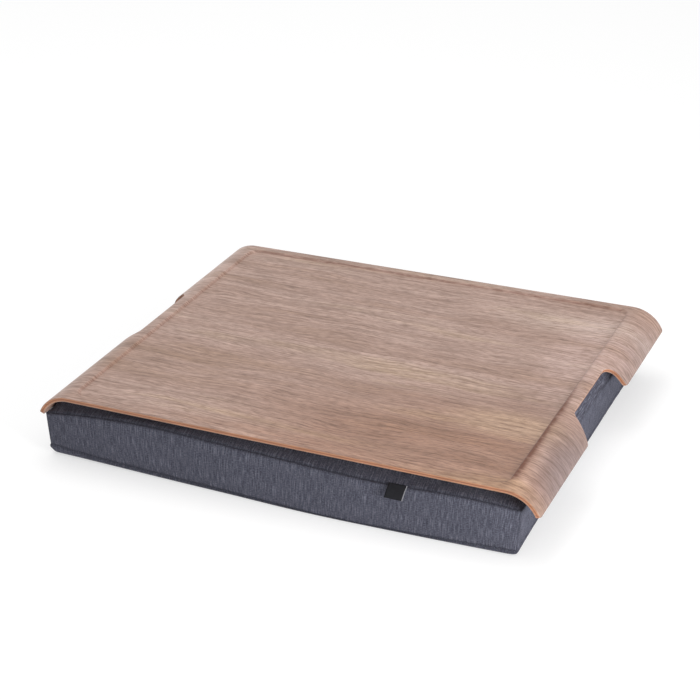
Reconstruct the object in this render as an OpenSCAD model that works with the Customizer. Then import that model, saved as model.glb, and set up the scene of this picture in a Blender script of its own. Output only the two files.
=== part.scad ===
// Cushioned lap desk: a moulded plywood tray held by hook-and-loop strips on a bead-filled cushion.
// Millimetres, +Z up, front towards -Y, origin at the centre of the footprint on the floor.

/* [Tray] */
// Width across both lips
tray_w = 460; // [400:5:540]
// Depth from the front edge to the back edge
tray_d = 362; // [320:2:440]
// Height from the floor to the top of the tray
overall_h = 64; // [56:1:90]
// Thickness of the face veneer
face_t = 0.6; // [0.4:0.1:1]
// Thickness of each crossband layer
crossband_t = 0.9; // [0.6:0.1:1.5]
// Thickness of the core layer
core_t = 1; // [0.8:0.1:2]
// Thickness of the back veneer
back_t = 0.6; // [0.4:0.1:1]
// Outer radius of the bend that turns each short side down into a lip
lip_r = 32.4; // [24:0.2:40]
// Angle that the bend turns through
lip_sweep = 68; // [50:1:75]

/* [Recess] */
// Depth of the pressed recess
recess_depth = 2; // [1:0.25:3]
// Width of the sloping wall round the recess
recess_ramp = 2.5; // [2:0.5:8]
// Corner radius of the recess floor
recess_corner_r = 11; // [4:1:25]
// Flat rim left along the front and back edges
recess_rim = 7; // [5:0.5:30]
// Flat strip left between the recess and each bend
recess_side = 0.2; // [0.2:0.2:20]

/* [Hand holds] */
// Depth of each notch, in from the lip's outer edge, seen from above
notch_depth = 19; // [14:1:22]
// Length of the notch's straight inner edge
notch_l = 79; // [50:1:100]
// Distance of that edge's middle behind the tray's middle
notch_y = 6; // [0:0.5:10]
// Radius of the notch's inner corners
notch_r = 12; // [6:1:16]
// Angle at which the notch's front end spreads outwards
notch_flare_front = 42; // [0:1:45]
// Angle at which the notch's rear end spreads outwards
notch_flare_rear = 8; // [0:1:45]
// Radius of the notch's outer corners, where it meets the lip's edge
notch_mouth_r = 4; // [1:0.5:6]

/* [Cushion] */
// Distance of the upper seam inside the tray's front and back edges
cushion_front = 5.5; // [4:0.5:20]
// Distance of the upper seam inside the lips' outer edges
cushion_side = 11.5; // [11:0.5:30]
// Place of the cushion's middle across the tray, where its strips were pressed on
cushion_x = -4; // [-4:0.5:4]
// How far the front and rear panels lean in towards the lower seam
lean_d = 0.5; // [0:0.5:12]
// How far the left and right panels lean in towards the lower seam
lean_w = 5; // [0:0.5:12]
// Rise of the top panel above the upper seam
crown_h = 8; // [3:0.5:10]
// Width of the soft shoulder inside the top, base and corner seams
shoulder_w = 32; // [20:1:50]
// Height of the lower seam above the floor, between the corners
base_h = 4.5; // [3:0.5:8]
// How far the boxing panels swell past the seams
bulge = 1.5; // [0:0.5:3]
// Height of the boxing panels' soft shoulder beside the upper and lower seams
bulge_shoulder = 10; // [6:0.5:11]
// How far the front and rear seams draw in at the corners
corner_draw = 4; // [0:0.5:5]
// How far the lower seam climbs at the corners
corner_lift = 3; // [0:0.5:5]
// Thickness of the cover fabric
fabric_t = 1.2; // [0.8:0.1:1.6]
// Thickness of the lining bag
bag_t = 0.5; // [0.3:0.1:1]
// Room between the cover's panels and the lining bag
bag_ease = 2.5; // [2.5:0.5:6]

/* [Hook and loop] */
// Length of each strip
strip_l = 100; // [40:5:130]
// Width of each strip
strip_w = 20; // [15:1:40]
// Thickness of a hook strip
hook_t = 1; // [0.6:0.1:1.6]
// Thickness of a loop strip
loop_t = 1.1; // [0.6:0.1:1.6]
// Gap between a hook strip and its loop strip
strip_gap = 0.3; // [0.2:0.1:0.6]
// Distance from the recess floor's sides to the strips' ends
strip_inset_x = 28; // [24:1:45]
// Distance from the recess floor's front and back to the strips
strip_inset_y = 30; // [24:1:60]

/* [Zip] */
// Length of the coils
zip_l = 300; // [160:10:310]
// Height of the slot in the rear panel
zip_slot_h = 9; // [7:0.5:12]
// Height of each tape
zip_tape_h = 10; // [8:0.5:10.5]
// Thickness of the tapes
zip_tape_t = 0.6; // [0.4:0.1:1]
// Slit between the two tapes
zip_slit = 1.2; // [1.1:0.1:1.6]
// Height of a coil on its tape
coil_h = 1.7; // [1.4:0.1:2]
// Width of a coil
coil_w = 1.6; // [1.2:0.1:2]
// Length of an end stop
stop_l = 2.5; // [1.5:0.5:4]
// Length of the slider
slider_l = 10; // [8:0.5:14]
// Width of the slider
slider_w = 7; // [6:0.5:9]
// Thickness of the slider's plates
slider_plate_t = 0.8; // [0.6:0.1:1]
// Thickness of the post that joins the slider's plates
slider_post_t = 0.7; // [0.5:0.1:0.7]
// Gap between the slider and what it runs along
slider_gap = 0.25; // [0.2:0.05:0.3]
// Radius of the pull's pin
pin_r = 0.5; // [0.4:0.05:0.6]
// Running clearance round the pin
pin_gap = 0.08; // [0.05:0.01:0.1]
// Wall of the pull's eye round the pin
eye_wall = 0.55; // [0.4:0.05:0.7]
// Width of the pull's eye between the slider's ears
eye_w = 2.6; // [2:0.1:3.2]
// Thickness of the slider's ears
ear_t = 0.7; // [0.5:0.1:0.9]
// Length of the pull from its pin
pull_l = 21; // [15:1:30]
// Width of the pull
pull_w = 5; // [4:0.5:6]
// Thickness of the pull
pull_t = 0.9; // [0.6:0.1:1.1]

/* [Label] */
// Width of the label
label_w = 18; // [10:1:40]
// Height of the label
label_h = 14; // [8:0.5:20]
// Thickness of the folded label
label_t = 0.8; // [0.4:0.1:1.2]
// Place of the label's middle, to the right of the centre
label_x = 107; // [-150:1:150]

/* [Hidden] */
$fn = 48;

walnut = "#a98a78";
ply_brown = "#b8764c";
ply_pale = "#c99468";
cloth_grey = "#55565f";
lining_white = "#e8e6e0";
tape_black = "#26262a";
metal_dark = "#4a4a4e";

// Depth below the tray's top at which each layer starts, from the face veneer down to the underside
ply_top = [
    0,
    face_t,
    face_t + crossband_t,
    face_t + crossband_t + core_t,
    face_t + 2 * crossband_t + core_t,
    face_t + 2 * crossband_t + core_t + back_t
];
tray_t = ply_top[5];
flat_half = tray_w / 2 - lip_r * sin(lip_sweep);
floor_w = 2 * (flat_half - recess_side - recess_ramp);
floor_d = tray_d - 2 * (recess_rim + recess_ramp);
recess_under = overall_h - tray_t - recess_depth;
// How far a cutter runs past the faces that it cuts
past = 5;
// Thickness of the thin plates whose hull makes a sloping solid
plate = 0.02;
hull_fn = 32;

// Seam loops of the cover
cushion_top = recess_under - hook_t - strip_gap - loop_t;
seam_top = cushion_top - crown_h;
seam_bottom = base_h;
top_hx = tray_w / 2 - cushion_side;
top_hy = tray_d / 2 - cushion_front;
bottom_hx = top_hx - lean_w;
bottom_hy = top_hy - lean_d;
panel_rise = seam_top - seam_bottom;
tilt_x = atan(lean_w / panel_rise);
tilt_y = atan(lean_d / panel_rise);

// Shares of the half width, half depth and height that the soft shoulders take; those of the boxing
// panels leave the zip's tapes a flat stretch between them
share_x = shoulder_w / top_hx;
share_y = shoulder_w / top_hy;
share_z = min(bulge_shoulder, (panel_rise - 2 * zip_tape_h - zip_slit) / 2) / panel_rise;
shoulder_steps = 3;

function mix(a, b, t) = a + (b - a) * t;

// Rise of a soft shoulder from 0 at the seam to 1 at its inner end
function swell(t) = 1 - pow(1 - min(1, max(0, t)), 2);

// Half sizes and heights of the seam loops of the cover's surface, that far in from its outside:
// [half width at the top, half depth at the top, half width below, half depth below, top z, bottom z]
function seam_loops(inset) = [
    top_hx - inset * (1 / cos(tilt_x) + tan(tilt_x)),
    top_hy - inset * (1 / cos(tilt_y) + tan(tilt_y)),
    bottom_hx - inset * (1 / cos(tilt_x) - tan(tilt_x)),
    bottom_hy - inset * (1 / cos(tilt_y) - tan(tilt_y)),
    seam_top - inset,
    seam_bottom + inset
];

// Places of the grid lines from -1 to 1: close together in the shoulders, even between them
function grid_lines(share, spans) = concat(
    [for (i = [0 : shoulder_steps]) -1 + share * i / shoulder_steps],
    [for (i = [1 : spans - 1]) mix(share - 1, 1 - share, i / spans)],
    [for (i = [shoulder_steps : -1 : 0]) 1 - share * i / shoulder_steps]
);
lines_x = grid_lines(share_x, 5);
lines_y = grid_lines(share_y, 4);
lines_z = [for (g = grid_lines(2 * share_z, 2)) (g + 1) / 2];

// Swell of a boxing panel at a share along it (-1 to 1) and up it (0 to 1)
function panel_swell(along, up, share) =
    swell((1 - abs(along)) / share) * swell(min(up, 1 - up) / share_z);

// Distance that the front or rear panel stands out from a straight seam, less the draw at the corners
function stand_out(along, swelled) =
    bulge * swelled * cos(tilt_y) - corner_draw * (1 - swelled) * along * along;

// Height of a boxing panel's point, with the lower seam's climb towards the corners
function panel_z(along, up, swelled, tilt, q) =
    mix(q[5], q[4], up) - bulge * swelled * sin(tilt)
    + corner_lift * (1 - swelled) * (1 - up) * along * along;

// Point of the front or rear panel; side is -1 at the front and 1 at the rear
function front_point(side, along, up, q) =
    let (s = panel_swell(along, up, share_x))
    [
        along * mix(q[2], q[0], up),
        side * (mix(q[3], q[1], up) + stand_out(along, s)),
        panel_z(along, up, s, tilt_y, q)
    ];

// Point of the left or right panel; side is -1 at the left and 1 at the right
function side_point(side, along, up, q) =
    let (s = panel_swell(along, up, share_y))
    [
        side * (mix(q[2], q[0], up) + bulge * s * cos(tilt_x)),
        along * (mix(q[3], q[1], up) - corner_draw),
        panel_z(along, up, s, tilt_x, q)
    ];

// Point of the top or base panel, which rises or drops by rise from a loop of half sizes hx and hy,
// and whose seam climbs by lift at the corners
function flat_point(along_x, along_y, hx, hy, z, rise, lift) =
    let (s = swell((1 - abs(along_x)) / share_x) * swell((1 - abs(along_y)) / share_y))
    [
        along_x * hx,
        along_y * (hy - corner_draw * along_x * along_x),
        z + rise * s + lift * (1 - s) * pow(along_x * along_y, 2)
    ];

// Grids of points of each panel's surface, that far in from the cover's outside
function front_grid(side, inset) =
    let (q = seam_loops(inset)) [for (u = lines_x) [for (v = lines_z) front_point(side, u, v, q)]];
function side_grid(side, inset) =
    let (q = seam_loops(inset)) [for (u = lines_y) [for (v = lines_z) side_point(side, u, v, q)]];
function top_grid(inset) =
    let (q = seam_loops(inset))
    [for (u = lines_x) [for (v = lines_y) flat_point(u, v, q[0], q[1], q[4], crown_h, 0)]];
function base_grid(inset) =
    let (q = seam_loops(inset))
    [for (u = lines_x) [for (v = lines_y) flat_point(u, v, q[2], q[3], q[5], -base_h, corner_lift)]];

// Two triangles of a quad, given clockwise as seen from outside
function quad(a, b, c, d) = [[a, b, c], [a, c, d]];

// Closed sheet between an outer and an inner grid of points; flipped turns its faces the other way
module sheet(outer, inner, flipped) {
    m = len(outer);
    n = len(outer[0]);
    far = m * n;
    function at(i, j) = i * n + j;
    faces = concat(
        [for (i = [0 : m - 2], j = [0 : n - 2])
            each quad(at(i, j), at(i, j + 1), at(i + 1, j + 1), at(i + 1, j))],
        [for (i = [0 : m - 2], j = [0 : n - 2])
            each quad(far + at(i + 1, j), far + at(i + 1, j + 1), far + at(i, j + 1), far + at(i, j))],
        [for (i = [0 : m - 2])
            each quad(at(i, 0), at(i + 1, 0), far + at(i + 1, 0), far + at(i, 0))],
        [for (i = [0 : m - 2])
            each quad(at(i + 1, n - 1), at(i, n - 1), far + at(i, n - 1), far + at(i + 1, n - 1))],
        [for (j = [0 : n - 2])
            each quad(at(0, j + 1), at(0, j), far + at(0, j), far + at(0, j + 1))],
        [for (j = [0 : n - 2])
            each quad(at(m - 1, j), at(m - 1, j + 1), far + at(m - 1, j + 1), far + at(m - 1, j))]
    );
    points = concat([for (row = outer) each row], [for (row = inner) each row]);
    translate([cushion_x, 0, 0])
        polyhedron(points, flipped ? [for (f = faces) [f[2], f[1], f[0]]] : faces);
}

module rounded_rect(w, d, r) {
    square([w - 2 * r, d], center = true);
    square([w, d - 2 * r], center = true);
    for (x = [-1, 1], y = [-1, 1])
        translate([x * (w / 2 - r), y * (d / 2 - r)])
            circle(r);
}

// Cross-section of a layer between two depths below the tray's top: flat, with a bend at each end
module layer_section(from, to) {
    translate([-flat_half, overall_h - to])
        square([2 * flat_half, to - from]);
    for (side = [0, 1])
        mirror([side, 0])
            translate([flat_half, overall_h - lip_r])
                intersection() {
                    difference() {
                        circle(lip_r - from);
                        circle(lip_r - to);
                    }
                    bend_sector();
                }
}

// Triangle that holds the part of a circle that the bend turns through, from straight up
module bend_sector() {
    reach = 2 * lip_r;
    polygon([
        [0, 0],
        [0, reach],
        reach * [tan(lip_sweep / 2), 1],
        reach * [sin(lip_sweep), cos(lip_sweep)]
    ]);
}

// Solid of the recess whose rim lies that far below the tray's top, running up past its rim by lap
module recess_solid(depth, lap) {
    hull() {
        translate([0, 0, overall_h - depth - plate])
            linear_extrude(plate + lap)
                rounded_rect(floor_w + 2 * recess_ramp, floor_d + 2 * recess_ramp,
                    recess_corner_r + recess_ramp, $fn = hull_fn);
        translate([0, 0, overall_h - depth - recess_depth])
            linear_extrude(plate)
                rounded_rect(floor_w, floor_d, recess_corner_r, $fn = hull_fn);
    }
}

// Points along one end of a notch that flares by that angle, out past the lip's edge: the inner corner's
// arc, then the arc that rounds the corner between the flaring end and the lip's edge
function notch_end(flare) =
    let (
        edge = tray_w / 2,
        steps = 14,
        turn = 90 - flare,
        centre = [edge - notch_depth + notch_r, notch_l / 2],
        last = centre + notch_r * [-sin(flare), cos(flare)],
        mouth_y = last[1] + (edge - last[0]) * tan(flare) + notch_mouth_r * tan(turn / 2)
    )
    concat(
        [for (i = [0 : steps])
            let (a = 180 - turn * i / steps) centre + notch_r * [cos(a), sin(a)]],
        [for (i = [0 : steps])
            let (a = flare + turn * i / steps)
            [edge - notch_mouth_r, mouth_y] + notch_mouth_r * [sin(a), -cos(a)]],
        [[edge + past, mouth_y]]
    );

// Outline of the right hand hold's cut, seen from above
module notch_outline() {
    rear = notch_end(notch_flare_rear);
    front = notch_end(notch_flare_front);
    translate([0, notch_y])
        polygon(concat(rear, [for (i = [len(front) - 1 : -1 : 0]) [front[i][0], -front[i][1]]]));
}

// One layer of the tray, counted from 0 at the face veneer
module ply(i) {
    difference() {
        union() {
            rotate([90, 0, 0])
                linear_extrude(tray_d, center = true)
                    layer_section(ply_top[i], ply_top[i + 1]);
            recess_solid(ply_top[i + 1], (ply_top[i + 1] - ply_top[i]) / 2);
        }
        recess_solid(ply_top[i], past);
        for (side = [0, 1])
            mirror([side, 0, 0])
                linear_extrude(overall_h + past)
                    notch_outline();
    }
}

// Strip of hook or loop tape in one of four places round a middle, from 1 at the front left
module strip(i, middle_x, z, thickness) {
    place_x = floor_w / 2 - strip_inset_x - strip_l / 2;
    place_y = floor_d / 2 - strip_inset_y - strip_w / 2;
    strip_corner_r = 3;
    translate([middle_x + (i % 2 == 1 ? -1 : 1) * place_x, (i <= 2 ? -1 : 1) * place_y, z])
        linear_extrude(thickness)
            rounded_rect(strip_l, strip_w, strip_corner_r);
}

// Solid inside the cover: the lining bag's outside with skin 0, the beads' with the bag's thickness
module bag_solid(skin) {
    q = seam_loops(fabric_t + bag_ease + skin);
    shoulder_x = 1 - share_x;
    shoulder_y = 1 - share_y;
    bag_corner_r = 20;
    slab = 0.5;
    // Height and half sizes of each level
    levels = [
        [fabric_t + skin, q[2] * shoulder_x, q[3] * shoulder_y],
        [q[5], q[2], q[3]],
        [q[4] - slab, q[0], q[1]],
        [cushion_top - fabric_t - skin - slab, q[0] * shoulder_x, q[1] * shoulder_y]
    ];
    hull()
        for (level = levels)
            translate([cushion_x, 0, level[0]])
                linear_extrude(slab)
                    rounded_rect(2 * level[1], 2 * level[2], bag_corner_r, $fn = hull_fn);
}

// Half of the lining bag: above the middle seam with upper true, and below it otherwise
module bag_half(upper) {
    middle = (seam_top + seam_bottom) / 2;
    intersection() {
        difference() {
            bag_solid(0);
            bag_solid(bag_t);
        }
        translate([-tray_w / 2, -tray_d / 2, upper ? middle : middle - overall_h])
            cube([tray_w, tray_d, overall_h]);
    }
}

// Frame on the rear panel's flat middle: Y points out of the panel and Z up along it
module on_rear() {
    translate([
        cushion_x,
        (top_hy + bottom_hy) / 2 + bulge * cos(tilt_y),
        (seam_top + seam_bottom) / 2 - bulge * sin(tilt_y)
    ])
        rotate([-tilt_y, 0, 0])
            children();
}

// Zip places in that frame
tape_face = -fabric_t;
slider_out = tape_face + coil_h + slider_gap;
slider_in = tape_face - zip_tape_t - slider_gap;
eye_r = pin_r + pin_gap + eye_wall;
pin_out = slider_out + slider_plate_t + eye_r + slider_gap;
// The zip is closed when the slider stands at its right end
slider_x = zip_l / 2 - slider_l / 2 - 1;

module zip_tape(up) {
    tape_end = 12;
    on_rear()
        mirror([0, 0, up ? 0 : 1])
            translate([-zip_l / 2 - tape_end, tape_face - zip_tape_t, zip_slit / 2])
                cube([zip_l + 2 * tape_end, zip_tape_t, zip_tape_h]);
}

module zip_coil(up) {
    on_rear()
        mirror([0, 0, up ? 0 : 1])
            translate([zip_l / 2, tape_face, zip_slit / 2])
                rotate([0, -90, 0])
                    linear_extrude(zip_l)
                        intersection() {
                            square([coil_w, coil_h]);
                            union() {
                                square([coil_w, coil_h - coil_w / 2]);
                                translate([coil_w / 2, coil_h - coil_w / 2])
                                    circle(coil_w / 2);
                            }
                        }
}

module face_veneer() {
    color(walnut) ply(0);
}

module upper_crossband() {
    color(ply_brown) ply(1);
}

module core_ply() {
    color(ply_pale) ply(2);
}

module lower_crossband() {
    color(ply_brown) ply(3);
}

module back_veneer() {
    color(walnut) ply(4);
}

module hook_tape(i) {
    color(tape_black) strip(i, 0, recess_under - hook_t, hook_t);
}

module loop_tape(i) {
    color(tape_black) strip(i, cushion_x, cushion_top, loop_t);
}

module top_panel() {
    color(cloth_grey) sheet(top_grid(0), top_grid(fabric_t), false);
}

module base_panel() {
    color(cloth_grey) sheet(base_grid(0), base_grid(fabric_t), true);
}

module front_panel() {
    color(cloth_grey) sheet(front_grid(-1, 0), front_grid(-1, fabric_t), false);
}

module left_panel() {
    color(cloth_grey) sheet(side_grid(-1, 0), side_grid(-1, fabric_t), true);
}

module right_panel() {
    color(cloth_grey) sheet(side_grid(1, 0), side_grid(1, fabric_t), false);
}

module rear_panel() {
    slot_end = stop_l + 1.5;
    color(cloth_grey)
        difference() {
            sheet(front_grid(1, 0), front_grid(1, fabric_t), true);
            on_rear()
                cube([zip_l + 2 * slot_end, 2 * past, zip_slot_h], center = true);
        }
}

// The label hangs from the upper front seam and lies just clear of the panel's swell
module side_label() {
    clear = 0.15;
    q = seam_loops(0);
    low = 1 - label_h * cos(tilt_y) / panel_rise;
    ups = concat([low], [for (v = lines_z) if (v > low) v]);
    along = max(0, abs(label_x - cushion_x) - label_w / 2) / top_hx;
    front = [for (v = ups)
        let (s = panel_swell(along, v, share_x))
        [-mix(q[3], q[1], v) - stand_out(along, s) - clear, mix(q[5], q[4], v) - bulge * s * sin(tilt_y)]];
    color(tape_black)
        translate([label_x, 0, 0])
            rotate([90, 0, 90])
                linear_extrude(label_w, center = true)
                    polygon(concat(front, [for (i = [len(front) - 1 : -1 : 0]) front[i] - [label_t, 0]]));
}

module inner_bag_upper() {
    color(lining_white) bag_half(true);
}

module inner_bag_lower() {
    color(lining_white) bag_half(false);
}

module bead_fill() {
    color("white") bag_solid(bag_t);
}

module zip_tape_upper() {
    color(tape_black) zip_tape(true);
}

module zip_tape_lower() {
    color(tape_black) zip_tape(false);
}

module zip_coil_upper() {
    color(metal_dark) zip_coil(true);
}

module zip_coil_lower() {
    color(metal_dark) zip_coil(false);
}

module zip_end_stops() {
    stop_h = zip_slit + 2 * coil_w;
    color(metal_dark)
        on_rear()
            for (side = [0, 1])
                mirror([side, 0, 0])
                    translate([zip_l / 2, tape_face, -stop_h / 2])
                        cube([stop_l, coil_h, stop_h]);
}

// Two plates joined by a post that passes between the coils, with two ears and the pull's pin outside
module zip_slider() {
    ear_x = 2 * (pin_r + 0.5);
    ear_z = eye_w / 2 + slider_gap;
    plate_r = 1.5;
    color(metal_dark)
        on_rear()
            translate([slider_x, 0, 0]) {
                for (y = [slider_in - slider_plate_t, slider_out])
                    translate([0, y + slider_plate_t, 0])
                        rotate([90, 0, 0])
                            linear_extrude(slider_plate_t)
                                rounded_rect(slider_l, slider_w, plate_r);
                translate([-slider_l / 4, slider_in - slider_plate_t / 2, -slider_post_t / 2])
                    cube([slider_l / 2, slider_out - slider_in + slider_plate_t, slider_post_t]);
                for (side = [0, 1])
                    mirror([0, 0, side])
                        translate([-ear_x / 2, slider_out, ear_z])
                            cube([ear_x, pin_out + ear_x / 2 - slider_out, ear_t]);
                translate([0, pin_out, -ear_z - ear_t / 2])
                    cylinder(h = 2 * ear_z + ear_t, r = pin_r);
            }
}

// Tab with an eye round the slider's pin, lying back along the closed zip
module zip_pull() {
    neck_l = pin_r + 2.5;
    end_r = pull_w / 2;
    color(metal_dark)
        on_rear()
            translate([slider_x, pin_out, 0])
                difference() {
                    union() {
                        cylinder(h = eye_w, r = eye_r, center = true);
                        translate([-neck_l, -pull_t / 2, -eye_w / 2])
                            cube([neck_l, pull_t, eye_w]);
                        translate([-pull_l + end_r, -pull_t / 2, -pull_w / 2])
                            cube([pull_l - end_r - neck_l + 0.5, pull_t, pull_w]);
                        translate([-pull_l + end_r, pull_t / 2, 0])
                            rotate([90, 0, 0])
                                cylinder(h = pull_t, r = end_r);
                    }
                    cylinder(h = eye_w + past, r = pin_r + pin_gap, center = true);
                }
}

face_veneer();
upper_crossband();
core_ply();
lower_crossband();
back_veneer();
hook_tape(1);  // hook_tape_1
hook_tape(2);  // hook_tape_2
hook_tape(3);  // hook_tape_3
hook_tape(4);  // hook_tape_4
loop_tape(1);  // loop_tape_1
loop_tape(2);  // loop_tape_2
loop_tape(3);  // loop_tape_3
loop_tape(4);  // loop_tape_4
top_panel();
front_panel();
rear_panel();
left_panel();
right_panel();
base_panel();
side_label();
inner_bag_upper();
inner_bag_lower();
bead_fill();
zip_tape_upper();
zip_tape_lower();
zip_coil_upper();
zip_coil_lower();
zip_end_stops();
zip_slider();
zip_pull();
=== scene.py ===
import math

import bmesh
import bpy
import numpy as np
from mathutils import Matrix, Vector, noise


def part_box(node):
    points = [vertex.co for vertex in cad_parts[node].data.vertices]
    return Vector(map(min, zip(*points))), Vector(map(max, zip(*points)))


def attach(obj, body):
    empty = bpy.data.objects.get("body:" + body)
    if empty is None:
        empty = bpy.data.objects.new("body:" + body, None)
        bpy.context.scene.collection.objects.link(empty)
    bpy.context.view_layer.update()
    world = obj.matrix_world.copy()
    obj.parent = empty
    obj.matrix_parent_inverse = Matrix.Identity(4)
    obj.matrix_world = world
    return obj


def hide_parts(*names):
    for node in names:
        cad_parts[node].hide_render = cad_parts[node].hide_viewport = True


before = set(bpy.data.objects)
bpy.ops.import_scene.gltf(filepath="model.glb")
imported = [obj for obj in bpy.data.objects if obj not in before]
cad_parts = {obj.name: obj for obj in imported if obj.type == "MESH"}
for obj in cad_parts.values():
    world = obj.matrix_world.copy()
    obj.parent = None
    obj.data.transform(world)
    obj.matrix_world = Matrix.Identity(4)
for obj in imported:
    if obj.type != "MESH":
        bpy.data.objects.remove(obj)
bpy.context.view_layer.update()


# Camera, standing where the photograph was taken from.
# Its place, aim, roll and focal length follow from the tray's own edges, whose sizes are known.
scene = bpy.context.scene
scene.view_settings.view_transform = "Standard"

picture_px = 700
focal_px = 1754
camera_place = Vector((0.5806, -1.2975, 0.7696))
camera_turn = math.radians(24.576)
camera_rise = math.radians(26.381)
camera_roll = math.radians(-1.155)

camera_data = bpy.data.cameras.new("camera")
camera_data.sensor_width = 36
camera_data.lens = camera_data.sensor_width * focal_px / picture_px
camera = bpy.data.objects.new("camera", camera_data)
camera_back = Vector((
    math.sin(camera_turn) * math.cos(camera_rise),
    -math.cos(camera_turn) * math.cos(camera_rise),
    math.sin(camera_rise),
))
camera_right = Vector((math.cos(camera_turn), math.sin(camera_turn), 0))
camera_axes = Matrix((camera_right, camera_back.cross(camera_right), camera_back)).transposed()
camera_axes = camera_axes @ Matrix.Rotation(camera_roll, 3, "Z")
camera.matrix_world = Matrix.Translation(camera_place) @ camera_axes.to_4x4()
scene.collection.objects.link(camera)
scene.camera = camera


# Studio: a pale floor that gives off a little light, under a soft sky, bright overhead and dim low down.
# A wide lamp hangs above, and a small one stands low at the right. The camera sees another mix of paint and
# glow on the floor than the light does, so that the floor reads as white and keeps its shadows.
sky_top = 1.0
sky_top_starts = 0.9
sky_side = 0.22
sky_side_ends = 0.3
floor_white, floor_lit = 0.85, 0.25
floor_seen, floor_glow = 0.5, 0.53
floor_half = 30.0
floor_under = 0.0003


def node(tree, kind, inputs=None, **settings):
    """A new node with its settings and inputs; an input is a value or another node's socket."""
    made = tree.nodes.new(kind)
    for name, value in settings.items():
        setattr(made, name, value)
    for key, value in (inputs or {}).items():
        if isinstance(value, bpy.types.NodeSocket):
            tree.links.new(value, made.inputs[key])
        else:
            made.inputs[key].default_value = value
    return made


def calc(tree, operation, *values):
    """The output of a Math node on these values or sockets."""
    return node(tree, "ShaderNodeMath", dict(enumerate(values)), operation=operation).outputs[0]


def parts(tree, place):
    """The X, Y and Z of a place."""
    return node(tree, "ShaderNodeSeparateXYZ", {0: place}).outputs


def faded(tree, value, first, last, low, high):
    """A smooth change from low to high while the value goes from first to last."""
    ends = {"Value": value, "From Min": first, "From Max": last, "To Min": low, "To Max": high}
    return node(tree, "ShaderNodeMapRange", ends, interpolation_type="SMOOTHSTEP").outputs[0]


def seen_straight(tree):
    """1 for rays from the camera, off a glossy surface or through glass, and 0 for the light itself."""
    path = node(tree, "ShaderNodeLightPath").outputs
    seen = calc(tree, "MAXIMUM", path["Is Camera Ray"], path["Is Glossy Ray"])
    return calc(tree, "MAXIMUM", seen, path["Is Transmission Ray"])


world = bpy.data.worlds.new("surround")
world.use_nodes = True
scene.world = world
world_tree = world.node_tree
sky_height = parts(world_tree, node(world_tree, "ShaderNodeTexCoord").outputs["Generated"])["Z"]
sky_light = faded(world_tree, sky_height, sky_side_ends, sky_top_starts, sky_side, sky_top)
sky_mix = {"Factor": seen_straight(world_tree), "A": sky_light, "B": 1.0}
sky_seen = node(world_tree, "ShaderNodeMix", sky_mix).outputs[0]
background = world_tree.nodes["Background"].inputs
world_tree.links.new(sky_seen, background["Strength"])
background["Color"].default_value = (1, 1, 1, 1)

floor_paint = bpy.data.materials.new("studio_floor")
floor_paint.use_nodes = True
floor_tree = floor_paint.node_tree
floor_tree.nodes.clear()


def glowing_matt(white, glow):
    """Matt floor paint that also gives off light."""
    matt = node(floor_tree, "ShaderNodeBsdfDiffuse", {"Color": (white, white, white, 1)})
    lamp = node(floor_tree, "ShaderNodeEmission", {"Strength": glow})
    return node(floor_tree, "ShaderNodeAddShader", {0: matt.outputs[0], 1: lamp.outputs[0]}).outputs[0]


floor_both = node(
    floor_tree,
    "ShaderNodeMixShader",
    {
        0: seen_straight(floor_tree),
        1: glowing_matt(floor_white, floor_lit),
        2: glowing_matt(floor_seen, floor_glow),
    },
)
node(floor_tree, "ShaderNodeOutputMaterial", {"Surface": floor_both.outputs[0]})

floor_mesh = bpy.data.meshes.new("studio_floor")
floor_sides = ((-1, -1), (1, -1), (1, 1), (-1, 1))
floor_corners = [(x * floor_half, y * floor_half, -floor_under) for x, y in floor_sides]
floor_mesh.from_pydata(floor_corners, [], [(0, 1, 2, 3)])
floor_mesh.materials.append(floor_paint)
studio_floor = bpy.data.objects.new("studio_floor", floor_mesh)
scene.collection.objects.link(studio_floor)


def soft_lamp(name, place, aim, size, watts):
    """A square lamp at a place, turned to what it lights."""
    lamp_data = bpy.data.lights.new(name, "AREA")
    lamp_data.size = size
    lamp_data.energy = watts
    lamp = bpy.data.objects.new(name, lamp_data)
    turn = (Vector(place) - Vector(aim)).to_track_quat("Z", "Y")
    lamp.matrix_world = Matrix.Translation(place) @ turn.to_matrix().to_4x4()
    scene.collection.objects.link(lamp)


soft_lamp("overhead_lamp", place=(-0.6, 0.3, 2.4), aim=(0, 0, 0), size=1.6, watts=17)
soft_lamp("side_lamp", place=(0.95, -0.5, 0.22), aim=(0.2, -0.1, 0.03), size=0.4, watts=9)


# Bead filling: loose expanded beads that settle into one soft mass inside the lining bag.
# It takes the cushion's own form, a sewn box with full sides, some way inside the cover.
# The form's corners, seams and bulges are set here, and the lining bag and the cover take them over.
top_low, top_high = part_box("top_panel")
base_low, base_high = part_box("base_panel")
upper_seam_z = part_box("front_panel")[1].z
lower_seam_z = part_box("front_panel")[0].z
cushion_x = (top_low.x + top_high.x) / 2
upper_half = np.array((top_high.x - top_low.x, top_high.y - top_low.y)) / 2
lower_half = np.array((base_high.x - base_low.x, base_high.y - base_low.y)) / 2
side_height = upper_seam_z - lower_seam_z
upper_slack = {
    (-1, -1): (-6, 1, -6.4), (1, -1): (-2, 0.3, -4), (-1, 1): (-3.5, -3, -5), (1, 1): (-2, -3, -4),
}
lower_slack = {
    (-1, -1): (-10.2, 1.5, 5.2), (1, -1): (-0.6, 0, 0.6), (-1, 1): (-6, -3, 2.5), (1, 1): (-2, -3, 2.5),
}
lip_r = 0.0324
lip_sweep = math.radians(68)
sheet_t = 0.004
lip_room = 0.0006
side_shoulder = 0.010
corner_shoulder = 0.030
end_shoulder = 0.010
front_shoulder = 0.032
top_ease = 1.5
base_shoulder = 0.006
base_roll = 0.0008
base_roll_share = 0.2
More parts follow.
